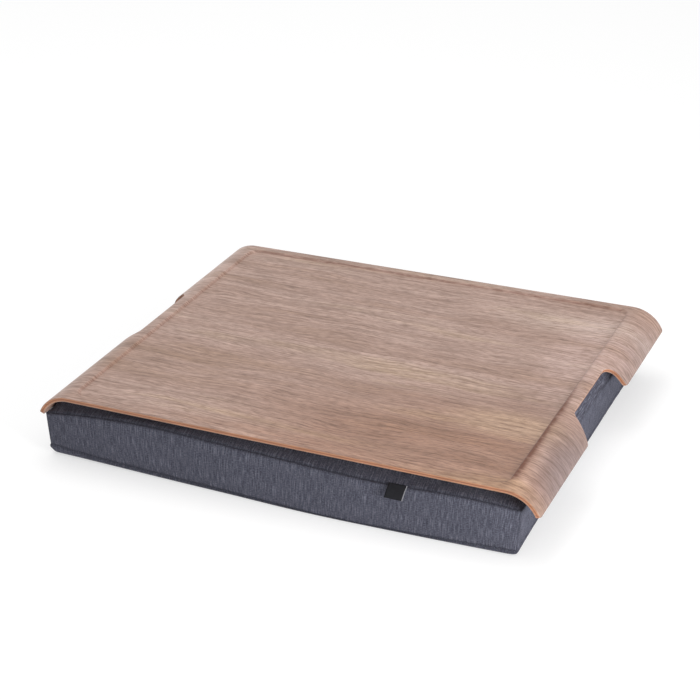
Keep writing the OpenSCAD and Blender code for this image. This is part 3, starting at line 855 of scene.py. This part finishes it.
def stitch_nodes():
    """Stitches end to end along each line of the mesh."""
    tree, given = new_nodes("stitch_row", Pitch="Float", Length="Float", Radius="Float", Thread="Material")
    size = node(tree, "ShaderNodeCombineXYZ", {0: given["Length"], 1: given["Radius"], 2: given["Radius"]})
    scale = vector(tree, "MULTIPLY", size.outputs[0], (0.5, 1, 1))
    bead = node(tree, "GeometryNodeMeshUVSphere", {"Segments": 6, "Rings": 5, "Radius": 1.0})
    lying = {"Geometry": bead.outputs["Mesh"], "Rotation": (0, math.pi / 2, 0)}
    bead = node(tree, "GeometryNodeTransform", lying)
    bead = node(tree, "GeometryNodeTransform", {"Geometry": bead.outputs[0], "Scale": scale})
    along = node(tree, "GeometryNodeInputTangent").outputs[0]
    aim = node(tree, "FunctionNodeAlignRotationToVector", {"Vector": along}, axis="X").outputs[0]
    return laid_out(tree, spaced(tree, given), bead, given["Thread"], Rotation=aim)


def grown(name, tree, seed_mesh, values):
    """The plain mesh that a Geometry Nodes tree makes from a mesh, with these values for its inputs."""
    holder = bpy.data.objects.new(name, seed_mesh)
    scene.collection.objects.link(holder)
    grower = holder.modifiers.new("grower", "NODES")
    grower.node_group = tree
    for item in tree.interface.items_tree:
        if item.in_out == "INPUT" and item.name in values:
            grower[item.identifier] = values[item.name]
    made = bpy.data.meshes.new_from_object(holder.evaluated_get(bpy.context.evaluated_depsgraph_get()))
    made.name = name
    bpy.data.objects.remove(holder)
    return made


def lines_mesh(name, *lines):
    """A mesh of open lines through these points."""
    joined, edges = [], []
    for line in lines:
        edges += [(len(joined) + i, len(joined) + i + 1) for i in range(len(line) - 1)]
        joined += [tuple(p) for p in line]
    mesh = bpy.data.meshes.new(name)
    mesh.from_pydata(joined, edges, [])
    return mesh


def stitched(name, *lines):
    """A mesh of stitches along these lines."""
    sizes = {"Pitch": stitch_pitch, "Length": stitch_length, "Radius": stitch_r, "Thread": stitch_paint}
    return grown(name, stitch_tree, lines_mesh(name + "_lines", *lines), sizes)


stitch_tree = stitch_nodes()
rear_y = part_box("rear_panel")[1].y
stitch_x = cushion_x + np.linspace(-1, 1, 60) * (slot_half[0] + stitch_off)
stitch_z = zip_middle_z + np.linspace(-1, 1, 9) * (slot_half[1] + stitch_off)
long_rows = [[(x, rear_y, z) for x in stitch_x] for z in stitch_z[[0, -1]]]
short_rows = [[(x, rear_y, z) for z in stitch_z] for x in stitch_x[[0, -1]]]
piece("slot_stitches", stitched("slot_stitches", *long_rows, *short_rows), "cushion", "cover_fabric")


# Zip coils, stops, slider and pull. Each coil is a wound plastic thread, sewn along its tape.
# The stops are crimped metal, and the slider and its pull are dark coated castings.
tooth_pitch = 0.0013
tooth_fill = 0.86
tooth_over = 1.15
stop_round, slider_round, pull_round = 0.0002, 0.00018, 0.0002
round_from = math.radians(35)


def fine_grains():
    """A shader group: noise all through a piece, with so many grains a metre."""
    inputs = {"Scale": "Float", "Detail": "Float"}
    tree, given = new_group("fine_grains", "ShaderNodeTree", inputs, {"Grain": "Float"})
    values = {"Vector": object_place(tree), "Scale": given["Scale"], "Detail": given["Detail"]}
    node(tree, "NodeGroupOutput", {"Grain": node(tree, "ShaderNodeTexNoise", values).outputs["Fac"]})
    return tree


fine_group = fine_grains()


def grained_paint(name, roughness, grains, stops, detail=2.0, relief=0.0, metallic=0.0):
    """A material in two tones of fine grains, so many a metre, with this much relief in metres."""
    paint, tree, shader = new_paint(name, roughness)
    values = {"Scale": grains, "Detail": detail}
    grain = node(tree, "ShaderNodeGroup", values, node_tree=fine_group).outputs["Grain"]
    coloured(tree, shader, grain, *stops)
    shader.inputs["Metallic"].default_value = metallic
    if relief:
        raise_surface(tree, shader, grain, relief)
    return paint


coil_paint = grained_paint(
    "dark_coil", 0.45, 700.0, ((0.3, (0.012, 0.012, 0.013)), (0.7, (0.03, 0.03, 0.032)))
)
metal_paint = grained_paint(
    "dark_zinc", 0.38, 900.0, ((0.3, (0.1, 0.1, 0.11)), (0.7, (0.2, 0.2, 0.22))),
    detail=4.0, relief=0.00002, metallic=1.0,
)


def coil_nodes():
    """A rounded tooth at every pitch along a line."""
    tree, given = new_nodes("coil_teeth", Pitch="Float", Tooth="Vector", Plastic="Material")
    tooth = node(tree, "GeometryNodeMeshCube", {"Size": (1, 1, 1)}).outputs["Mesh"]
    tooth = node(tree, "GeometryNodeSubdivisionSurface", {"Mesh": tooth, "Level": 1, "Edge Crease": 0.35})
    tooth = node(tree, "GeometryNodeTransform", {"Geometry": tooth.outputs[0], "Scale": given["Tooth"]})
    return laid_out(tree, spaced(tree, given), tooth, given["Plastic"])


coil_tree_nodes = coil_nodes()
for name, node_name in (("coil_above", "zip_coil_upper"), ("coil_below", "zip_coil_lower")):
    low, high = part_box(node_name)
    middle = (low + high) / 2
    row = lines_mesh(name, [(low.x, middle.y, middle.z), (high.x, middle.y, middle.z)])
    tooth = (tooth_pitch * tooth_fill, (high.y - low.y) * tooth_over, (high.z - low.z) * tooth_over)
    teeth = grown(name, coil_tree_nodes, row, {"Pitch": tooth_pitch, "Tooth": tooth, "Plastic": coil_paint})
    piece(name, teeth, "cushion", "zip_coil_plastic", node_name)


def rounded_copy(name, node_name, body, radius):
    """A copy of a metal CAD node with its edges rounded."""
    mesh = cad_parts[node_name].data.copy()
    mesh.name = name
    mesh.materials.clear()
    mesh.materials.append(metal_paint)
    copy_bm = bmesh.new()
    copy_bm.from_mesh(mesh)
    bmesh.ops.remove_doubles(copy_bm, verts=copy_bm.verts, dist=1e-6)
    bmesh.ops.dissolve_limit(copy_bm, angle_limit=math.radians(1), verts=copy_bm.verts, edges=copy_bm.edges)
    for face in copy_bm.faces:
        face.material_index = 0
    copy_bm.to_mesh(mesh)
    copy_bm.free()
    made = piece(name, mesh, body, "zip_metal", node_name)
    edge = made.modifiers.new("edges", "BEVEL")
    edge.width = radius
    edge.segments = 2
    edge.limit_method = "ANGLE"
    edge.angle_limit = round_from
    mesh.shade_smooth()
    mesh.set_sharp_from_angle(angle=round_from)


rounded_copy("zip_stops", "zip_end_stops", "cushion", stop_round)
rounded_copy("slider_body", "zip_slider", "zip_slider", slider_round)
rounded_copy("pull_tab", "zip_pull", "zip_pull", pull_round)


# Loop strips: four woven black strips with a pile of fine loops, which hold the tray's hook strips.
# A row of stitches round their edge sews them on the cushion's top.
strip_corner = 0.003
loop_backing = 0.0006
loop_pitch = 0.0017
loop_r = 0.00055
loop_thread = 0.00009
loop_margin = 0.0035
loop_seam_in = 0.0018
strip_soft = 0.3
spot_stray = 0.25
loop_paint = grained_paint(
    "black_loops", 0.9, 420.0, ((0.3, (0.008, 0.008, 0.009)), (0.75, (0.035, 0.035, 0.038))),
    detail=3.0, relief=0.0002,
)


def strip_outline(low, high, inset, steps=6):
    """Points round a strip's rounded outline, some way inside it."""
    r = strip_corner - inset
    outline = []
    corners = ((high.x, high.y, 0), (low.x, high.y, 90), (low.x, low.y, 180), (high.x, low.y, 270))
    for x, y, start in corners:
        centre_x = x - math.copysign(strip_corner, x - (low.x + high.x) / 2)
        centre_y = y - math.copysign(strip_corner, y - (low.y + high.y) / 2)
        for angle in np.radians(np.linspace(start, start + 90, steps)):
            outline.append((centre_x + r * math.cos(angle), centre_y + r * math.sin(angle)))
    return outline


def strip_backing(name, low, high, bottom, top, paint):
    """A thin strip with rounded corners and a softened edge."""
    backing = bmesh.new()
    rings = []
    soft = (top - bottom) * strip_soft
    for inset, z in ((soft, bottom), (0, bottom + soft), (0, top - soft), (soft, top)):
        rings.append([backing.verts.new((x, y, z)) for x, y in strip_outline(low, high, inset)])
    for lower, upper in zip(rings, rings[1:]):
        for i in range(len(lower)):
            backing.faces.new((lower[i - 1], lower[i], upper[i], upper[i - 1]))
    backing.faces.new(rings[0][::-1])
    backing.faces.new(rings[-1])
    mesh = bpy.data.meshes.new(name)
    backing.to_mesh(mesh)
    backing.free()
    mesh.materials.append(paint)
    return mesh


def pile_nodes():
    """A field of small bent threads on a grid: whole loops, or hooks where the sweep is short."""
    sizes = dict.fromkeys(("Radius", "Sweep", "Thread", "Turn"), "Float")
    tree, given = new_nodes("strip_pile", **sizes, Seed="Int", Fibre="Material")
    bend = {"Resolution": 6, "Radius": given["Radius"], "Start Angle": 0.0, "Sweep Angle": given["Sweep"]}
    arc = node(tree, "GeometryNodeCurveArc", bend).outputs["Curve"]
    ring = node(tree, "GeometryNodeCurvePrimitiveCircle", {"Resolution": 4, "Radius": given["Thread"]})
    thread = node(tree, "GeometryNodeCurveToMesh", {"Curve": arc, "Profile Curve": ring.outputs["Curve"]})
    upright = {"Geometry": thread.outputs[0], "Rotation": (math.pi / 2, 0, 0)}
    thread = node(tree, "GeometryNodeTransform", upright)
    turns = {"Min": calc(tree, "MULTIPLY", given["Turn"], -1.0), "Max": given["Turn"], "Seed": given["Seed"]}
    spin = node(tree, "FunctionNodeRandomValue", turns, data_type="FLOAT")
    turn = node(tree, "ShaderNodeCombineXYZ", {2: spin.outputs["Value"]}).outputs[0]
    return laid_out(tree, given["Geometry"], thread, given["Fibre"], Rotation=turn)


def joined(name, *meshes):
    """One mesh of several, with their materials."""
    whole = bmesh.new()
    paints = []
    for mesh in meshes:
        start = len(whole.faces)
        whole.from_mesh(mesh)
        whole.faces.ensure_lookup_table()
        first = len(paints)
        paints += list(mesh.materials)
        for face in whole.faces[start:]:
            face.material_index += first
    result = bpy.data.meshes.new(name)
    whole.to_mesh(result)
    whole.free()
    for paint in paints:
        result.materials.append(paint)
    return result


def strip_pile(name, low, high, z, pitch, margin, seed, **values):
    """The threads on a strip at this height, each a little off its place on a grid."""
    shift = np.random.default_rng(seed)
    xs = np.arange(low.x + margin, high.x - margin, pitch)
    ys = np.arange(low.y + margin, high.y - margin, pitch)
    grid_x, grid_y = np.meshgrid(xs, ys)
    spots = np.stack([grid_x.ravel(), grid_y.ravel(), np.full(grid_x.size, z)], axis=-1)
    spots[:, :2] += shift.uniform(-spot_stray, spot_stray, (len(spots), 2)) * pitch
    mesh = bpy.data.meshes.new(name + "_spots")
    mesh.from_pydata(spots.tolist(), [], [])
    return grown(name + "_pile", pile_tree, mesh, values)


pile_tree = pile_nodes()
for n in range(1, 5):
    low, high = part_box(f"loop_tape_{n}")
    name = f"loop_strip_{n}"
    backing_top = low.z + loop_backing
    backing = strip_backing(name + "_backing", low, high, low.z, backing_top, tape_paint)
    pile = strip_pile(
        name, low, high, backing_top, loop_pitch, loop_margin, n,
        Radius=loop_r, Sweep=math.pi, Thread=loop_thread, Turn=math.pi, Seed=n, Fibre=loop_paint,
    )
    outline = [(x, y, backing_top) for x, y in strip_outline(low, high, loop_seam_in)]
    seam_row = stitched(name + "_seam", outline + outline[:1])
    piece(name, joined(name, backing, pile, seam_row), "cushion", "loop_fabric", f"loop_tape_{n}")


# Tray: five layers of wood glued and pressed into one sheet, walnut on both faces and paler layers between.
# The press bends both ends down into lips and sinks a shallow recess with rounded corners;
# the hand-hold notches are cut afterwards, and the edges are sanded round and lacquered.
_, tray_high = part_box("face_veneer")
tray_half = np.array((tray_high.x, tray_high.y))
tray_top = tray_high.z
flat_half = tray_half[0] - lip_r * math.sin(lip_sweep)
recess_drop = 0.002
recess_ramp = 0.0025
recess_corner = 0.011
recess_rim = np.array((0.0002, 0.007))
recess_half = np.array((flat_half, tray_half[1])) - recess_rim - recess_ramp
# Painted shade along the recess's edge: its strength at each side and towards the front, where it lies on
# the ramp, its widths and its colour.
crease_right, crease_right_front = 0.16, 1.2
crease_left, crease_rear, crease_front = 0.3, 0.6, 0.1
crease_front_from, crease_front_over, crease_corner_clear = 0.01, 0.07, 0.25
crease_right_at, crease_at = 0.95, 0.2
crease_right_out, crease_right_front_out, crease_right_in, crease_width = 0.45, 0.95, 0.5, 0.4
crease_shade_colour = (0.12, 0.03, 0.008)
notch_depth = 0.019
notch_half = 0.0395
notch_r = 0.012
notch_flare_front = math.radians(42)
notch_flare_rear = math.radians(8)
mouth_r = 0.004
lip_corner = 0.003
edge_round = 0.00045
notch_x = tray_half[0] - notch_depth


def notch_end(past, flare):
    """How far out the sheet goes this far past a notch's straight part, and how long that end is."""
    flare_x = notch_x + notch_r * (1 - math.sin(flare))
    flare_past = notch_r * math.cos(flare)
    meet = flare_past + (tray_half[0] - flare_x) * math.tan(flare)
    mouth_run = mouth_r * math.tan(math.pi / 4 - flare / 2)
    length = meet + mouth_run
    in_bend = np.clip(past, 0, notch_r)
    edge = notch_x + notch_r - np.sqrt(notch_r ** 2 - in_bend ** 2)
    edge = np.where(past > flare_past, flare_x + (past - flare_past) / math.tan(flare), edge)
    mouth = tray_half[0] - mouth_r + np.sqrt(np.clip(mouth_r ** 2 - (length - past) ** 2, 0, None))
    edge = np.where(past > meet - mouth_run * math.sin(flare), mouth, edge)
    return np.where(past > length, 1.0, edge), length


def notch_edge(y):
    """How far out the sheet goes at the hand-hold notch, or very far clear of it."""
    rear, _ = notch_end(y - notch_y - notch_half, notch_flare_rear)
    front, _ = notch_end(notch_y - y - notch_half, notch_flare_front)
    return np.where(y > notch_y, rear, front)


def lip_reach(y):
    """The bend's angle at the sheet's free edge, which is cut square to the sheet."""
    corner = np.clip(lip_corner - (tray_half[1] - np.abs(y)), 0, None)
    rounded = lip_corner - np.sqrt(np.clip(lip_corner ** 2 - corner ** 2, 0, None))
    notch = np.arcsin(np.clip((notch_edge(y) - flat_half) / lip_r, 0, 1))
    return np.minimum(lip_sweep - rounded / lip_r, notch)


def recess_at(x, y):
    """How far the press sinks the sheet here, and how far out these places are past the recess's floor."""
    out_x = np.abs(x) - recess_half[0] + recess_corner
    out_y = np.abs(y) - recess_half[1] + recess_corner
    out = np.hypot(np.clip(out_x, 0, None), np.clip(out_y, 0, None))
    out = out + np.minimum(np.maximum(out_x, out_y), 0) - recess_corner
    share = np.clip(out / recess_ramp, 0, 1)
    return recess_drop * (1 - share ** 2 * (3 - 2 * share)), out


def crease_shade_mark(x, y, out):
    """How much shade is painted on the recess's edge: most at the right towards the front, least along the
    front.
    """
    beside = np.abs(x) > recess_half[0] - recess_corner / 2
    at_right = beside & (x > 0)
    to_front = swell((crease_front_from - y) / crease_front_over)
    to_front = to_front * np.clip((recess_half[1] + y) / recess_corner - crease_corner_clear, 0, 1)
    strength = np.where(beside, crease_left, np.where(y > 0, crease_rear, crease_front))
    strength = np.where(at_right, crease_right + crease_right_front * to_front, strength)
    past = out / recess_ramp - np.where(at_right, crease_right_at, crease_at)
    width = np.where(at_right, crease_right_in, crease_width)
    width = np.where(at_right & (past > 0), crease_right_out + crease_right_front_out * to_front, width)
    return strength * np.exp(-((past / width) ** 2))


def mirrored(places):
    """These places and the same ones on the other side of the middle."""
    return np.union1d(-places, places)


edge_steps = np.array((0, 0.12, 0.3, 0.6)) * 0.001
row_step, mouth_clear, bend_over = 0.009, 0.001, 0.002
ramp_clear, edge_clear, lip_clear = 0.0005, 0.0008, 0.001
front_end = notch_y - notch_half
rear_end = notch_y + notch_half
front_mouth = front_end - notch_end(0.0, notch_flare_front)[1]
rear_mouth = rear_end + notch_end(0.0, notch_flare_rear)[1]
recess_straight = recess_half - recess_corner
ramp_foot = recess_half - ramp_clear
ramp_end = recess_half[1] + recess_ramp
rows = np.union1d(
    np.concatenate([
        np.arange(front_mouth - mouth_clear, -recess_straight[1], -row_step),
        np.linspace(front_mouth - mouth_clear, front_end + bend_over, 44),
        np.linspace(front_end + bend_over, rear_end - bend_over, 9),
        np.linspace(rear_end - bend_over, rear_mouth + mouth_clear, 44),
        np.arange(rear_mouth + mouth_clear, recess_straight[1], row_step),
    ]),
    mirrored(np.concatenate([
        np.linspace(recess_straight[1], ramp_foot[1], 12),
        np.linspace(ramp_foot[1], ramp_end + ramp_clear, 9),
        np.linspace(ramp_end + 2 * ramp_clear, tray_half[1] - lip_corner, 4),
        tray_half[1] - np.linspace(edge_clear, lip_corner, 5),
        tray_half[1] - edge_steps,
    ])),
)
flat_cols = mirrored(np.concatenate([
    np.linspace(0, recess_straight[0], 20),
    np.linspace(recess_straight[0], ramp_foot[0], 12),
    np.linspace(ramp_foot[0], flat_half, 9),
]))
lip_run = lip_r * lip_sweep
lip_cols = np.linspace(0, 1 - lip_clear / lip_run, 27)[1:]
lip_cols = np.concatenate([lip_cols, 1 - edge_steps[::-1] / lip_run])


def layer_points(depth, rounding):
    """A layer's surface, at a depth under the tray's top, with its free edge rounded up or down."""
    y = rows[:, None]
    reach = lip_reach(y)
    angle = reach * lip_cols[None, :]
    off_y = tray_half[1] - np.abs(y)
    off_lip = (reach - angle) * lip_r
    flat_x = flat_cols[None, :] + 0 * y

    def softened(off):
        gone = np.clip(1 - off / edge_round, 0, 1)
        return edge_round * (1 - np.sqrt(np.clip(1 - gone ** 2, 0, 1))) * rounding

    sink, _ = recess_at(flat_x, y)
    flat_z = tray_top - depth - sink - softened(off_y + 0 * flat_x)
    bend_depth = depth + softened(np.minimum(off_y, off_lip))
    bend_x = flat_half + (lip_r - bend_depth) * np.sin(angle)
    bend_z = tray_top - lip_r + (lip_r - bend_depth) * np.cos(angle)
    run = flat_half + lip_r * angle
    x = np.concatenate([-bend_x[:, ::-1], flat_x, bend_x], axis=1)
    z = np.concatenate([bend_z[:, ::-1], flat_z, bend_z], axis=1)
    s = np.concatenate([-run[:, ::-1], flat_x, run], axis=1)
    crease_shades = crease_shade_mark(s, y, recess_at(s, y)[1])
    return np.stack([x, y + 0 * x, z], axis=-1), np.stack([s, y + 0 * s], axis=-1), crease_shades


def tray_layer(name, upper, lower, face_paint, cut_paint, slot, node_name, upper_round, lower_round):
    """One layer of the tray between two depths, its faces and its cut edge in their own materials."""
    top, places, crease_shades = layer_points(upper, upper_round)
    under, _, _ = layer_points(lower, -lower_round)
    shape = top.shape[:2]
    top_ids = np.arange(top[..., 0].size).reshape(shape)
    under_ids = top_ids + top_ids.size
    ring = np.concatenate([top_ids[0, :-1], top_ids[:-1, -1], top_ids[-1, :0:-1], top_ids[:0:-1, 0]])
    after = np.roll(ring, -1)
    top_faces, top_places = panel_quads(top_ids.T, places.transpose(1, 0, 2))
    under_faces, under_places = panel_quads(under_ids, places)
    edge_faces = np.stack([ring, ring + top_ids.size, after + top_ids.size, after], axis=-1)
    flat_places = places.reshape(-1, 2)
    edge_places = flat_places[np.stack([ring, ring, after, after], axis=-1)]
    mesh = cloth_mesh(
        name,
        np.concatenate([top.reshape(-1, 3), under.reshape(-1, 3)]),
        np.concatenate([top_faces, under_faces, edge_faces]),
        np.concatenate([top_places, under_places, edge_places]),
        face_paint,
    )
    mesh.materials.append(cut_paint)
    index = np.zeros(len(mesh.polygons), np.int32)
    index[-len(edge_faces):] = 1
    mesh.polygons.foreach_set("material_index", index)
    crease_shade = mesh.attributes.new("crease_shade", "FLOAT", "POINT")
    crease_shade.data.foreach_set("value", np.concatenate([crease_shades.ravel(), crease_shades.ravel()]).astype(np.float32))
    mesh.set_sharp_from_angle(angle=math.radians(50))
    piece(name, mesh, "tray", slot, node_name)


def grain_streaks():
    """A shader group: noise drawn out along the grain, with so many streaks a metre each way."""
    inputs = {"Place": "Vector", "Along": "Float", "Across": "Float", "Detail": "Float"}
    tree, given = new_group("grain_streaks", "ShaderNodeTree", inputs, {"Streak": "Float"})
    along, aside = given["Along"], given["Across"]
    stretch = node(tree, "ShaderNodeCombineXYZ", {0: along, 1: aside, 2: aside}).outputs[0]
    place = vector(tree, "MULTIPLY", given["Place"], stretch)
    values = {"Vector": place, "Scale": 1.0, "Detail": given["Detail"], "Roughness": 0.6}
    node(tree, "NodeGroupOutput", {"Streak": node(tree, "ShaderNodeTexNoise", values).outputs["Fac"]})
    return tree


grain_group = grain_streaks()


def streaks(tree, place, along, across, detail=2.0):
    """The grain group in a material."""
    sizes = {"Place": place, "Along": along, "Across": across, "Detail": detail}
    return node(tree, "ShaderNodeGroup", sizes, node_tree=grain_group).outputs["Streak"]


walnut_paint, walnut_tree, walnut_shader = new_paint("satin_walnut", 0.42)
walnut_flat = node(walnut_tree, "ShaderNodeUVMap", uv_map="UVMap").outputs["UV"]


def strayed(tree, place, along, across, far):
    """A place moved across the grain by slow noise, at most half of far each way."""
    stray = calc(tree, "SUBTRACT", streaks(tree, place, along, across), 0.5)
    aside = node(tree, "ShaderNodeCombineXYZ", {1: calc(tree, "MULTIPLY", stray, far)}).outputs[0]
    return vector(tree, "ADD", place, aside)


def patch(tree, place, centre, radius):
    """1 in the middle of an oval on the sheet, fading to 0 at its rim."""
    off = vector(tree, "DIVIDE", vector(tree, "SUBTRACT", place, (*centre, 0)), (*radius, 1))
    far = node(tree, "ShaderNodeVectorMath", {0: off}, operation="LENGTH").outputs["Value"]
    return faded(tree, far, 0.2, 1.0, 1.0, 0.0)


walnut_place = strayed(walnut_tree, walnut_flat, along=5.0, across=14.0, far=0.03)
walnut_place = strayed(walnut_tree, walnut_place, along=45.0, across=90.0, far=0.0028)
walnut_colour = colour_ramp(
    walnut_tree,
    streaks(walnut_tree, walnut_place, along=2.2, across=22.0, detail=3.0),
    (0.32, (0.33, 0.207, 0.145)), (0.45, (0.392, 0.26, 0.208)),
    (0.55, (0.426, 0.294, 0.243)), (0.68, (0.475, 0.338, 0.243)),
)
# Pale and dark patches: parts of the figure, painted highlights and painted shade; an oval's middle and half
# sizes, strength, colour and way of mixing.
walnut_figure_and_light = (
    ((0.14, -0.15), (0.28, 0.15), 1.0, (0.82, 0.69, 0.58), "MULTIPLY"),
    ((0.17, -0.078), (0.08, 0.032), 0.55, (0.55, 0.385, 0.26), "MIX"),
    ((0.17, 0.125), (0.12, 0.035), 0.4, (0.57, 0.445, 0.375), "MIX"),
    # Painted highlight on the tray's rear right, up to the start of the lip.
    ((0.185, 0.065), (0.045, 0.13), 1.0, (1.2, 1.25, 1.33), "MULTIPLY"),
    # Painted shade on the tray's floor at the right.
    ((0.172, -0.03), (0.05, 0.045), 1.0, (0.86, 0.83, 0.81), "MULTIPLY"),
    ((-0.01, -0.174), (0.17, 0.02), 1.0, (1.12, 1.11, 1.1), "MULTIPLY"),
    # Painted highlight on the left lip towards the rear.
    ((-0.224, 0.1), (0.034, 0.16), 1.0, (1.22, 1.3, 1.36), "MULTIPLY"),
    # Dark figure and painted shade on the outer part of the right lip at the front.
    ((0.236, -0.11), (0.045, 0.11), 1.0, (0.2, 0.145, 0.135), "MIX"),
    # Painted shade on the outer part of the right lip at the rear.
    ((0.24, 0.1), (0.04, 0.12), 1.0, (0.8, 0.85, 0.93), "MULTIPLY"),
    # Painted highlight where the right lip starts to bend, at the front.
    ((0.208, -0.135), (0.011, 0.06), 1.0, (1.35, 1.45, 1.5), "MULTIPLY"),
)
for centre, radius, most, colour, way in walnut_figure_and_light:
    share = calc(walnut_tree, "MULTIPLY", patch(walnut_tree, walnut_place, centre, radius), most)
    walnut_colour = tinted(walnut_tree, share, walnut_colour, colour, way)
# Finer and finer lines: how many a metre along and across the grain, their detail and the tints they give.
walnut_layers = (
    (5.0, 110.0, 4.0, (0.34, (0.83, 0.8, 0.77)), (0.5, (0.98, 0.97, 0.97)), (0.66, (1.07, 1.07, 1.07))),
    (22.0, 480.0, 4.0, (0.36, (0.66, 0.6, 0.55)), (0.5, (0.98, 0.97, 0.97)), (0.64, (1.15, 1.15, 1.15))),
    (110.0, 640.0, 4.0, (0.36, (0.72, 0.66, 0.61)), (0.5, (0.98, 0.97, 0.97)), (0.66, (1.16, 1.16, 1.16))),
)
for along, across_grain, detail, *stops in walnut_layers:
    walnut_lines = streaks(walnut_tree, walnut_place, along, across_grain, detail)
    walnut_tint = colour_ramp(walnut_tree, walnut_lines, *stops)
    walnut_colour = tinted(walnut_tree, 1.0, walnut_colour, walnut_tint, "MULTIPLY")
walnut_pores = streaks(walnut_tree, walnut_place, along=95.0, across=1900.0, detail=1.0)
walnut_pores = colour_ramp(walnut_tree, walnut_pores, (0.26, (0, 0, 0)), (0.37, (1, 1, 1)))
walnut_colour = tinted(walnut_tree, walnut_pores, (0.2, 0.125, 0.09), walnut_colour)
# Painted shade on the recess's edge, read off the mesh and broken up by noise.
walnut_crease_shade = node(walnut_tree, "ShaderNodeAttribute", attribute_name="crease_shade").outputs["Fac"]
walnut_breaks = streaks(walnut_tree, walnut_flat, along=90.0, across=160.0)
walnut_breaks = colour_ramp(walnut_tree, walnut_breaks, (0.35, (0.45, 0.45, 0.45)), (0.58, (1, 1, 1)))
walnut_crease_shade = calc(walnut_tree, "MULTIPLY", walnut_crease_shade, walnut_breaks)
walnut_colour = tinted(walnut_tree, walnut_crease_shade, walnut_colour, crease_shade_colour)
walnut_tree.links.new(walnut_colour, walnut_shader.inputs["Base Color"])
raise_surface(walnut_tree, walnut_shader, walnut_pores, 0.00003)


def edge_paint(name, colour):
    """A cut edge of wood: fine lines along the sheet, a little darker and lighter."""
    paint, tree, shader = new_paint(name, 0.55)
    fibres = streaks(tree, object_place(tree), along=60.0, across=2600.0, detail=3.0)
    darker, lighter = [tuple(share * c for c in colour) for share in (0.62, 1.12)]
    coloured(tree, shader, fibres, (0.3, darker), (0.65, lighter))
    raise_surface(tree, shader, fibres, 0.00004)
    return paint


veneer_edge = edge_paint("veneer_edge", (0.38, 0.24, 0.175))
crossband_edge = edge_paint("crossband_edge", (0.44, 0.195, 0.1))
core_edge = edge_paint("core_edge", (0.3, 0.12, 0.06))

depth = 0.0
for name, thickness, face, edge, slot, node_name, rounding in (
    ("walnut_face", 0.0006, walnut_paint, veneer_edge, "walnut_veneer", "face_veneer", (1, 0)),
    ("band_above", 0.0009, crossband_edge, crossband_edge, "crossband_wood", "upper_crossband", (0, 0)),
    ("core_sheet", 0.001, core_edge, core_edge, "core_wood", "core_ply", (0, 0)),
    ("band_below", 0.0009, crossband_edge, crossband_edge, "crossband_wood", "lower_crossband", (0, 0)),
    ("walnut_back", 0.0006, walnut_paint, veneer_edge, "walnut_veneer", "back_veneer", (0, 1)),
):
    tray_layer(name, depth, depth + thickness, face, edge, slot, node_name, *rounding)
    depth += thickness


# Hook strips: four black plastic strips with a field of small hooks, stuck under the tray.
# They hang over the loop strips and grip them.
hook_backing = 0.00055
hook_pitch = 0.0019
hook_r = 0.00042
hook_thread = 0.00011
hook_bend = -2.5
hook_turn = 0.35
hook_margin = 0.0025
hook_seed = 20
hook_paint = grained_paint(
    "black_hooks", 0.5, 500.0, ((0.3, (0.008, 0.008, 0.009)), (0.7, (0.02, 0.02, 0.022))), relief=0.00005
)
for n in range(1, 5):
    low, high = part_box(f"hook_tape_{n}")
    name = f"hook_strip_{n}"
    backing_low = high.z - hook_backing
    backing = strip_backing(name + "_backing", low, high, backing_low, high.z, hook_paint)
    pile = strip_pile(
        name, low, high, backing_low, hook_pitch, hook_margin, hook_seed + n,
        Radius=hook_r, Sweep=hook_bend, Thread=hook_thread, Turn=hook_turn, Seed=n, Fibre=hook_paint,
    )
    piece(name, joined(name, backing, pile), "tray", "hook_plastic", f"hook_tape_{n}")
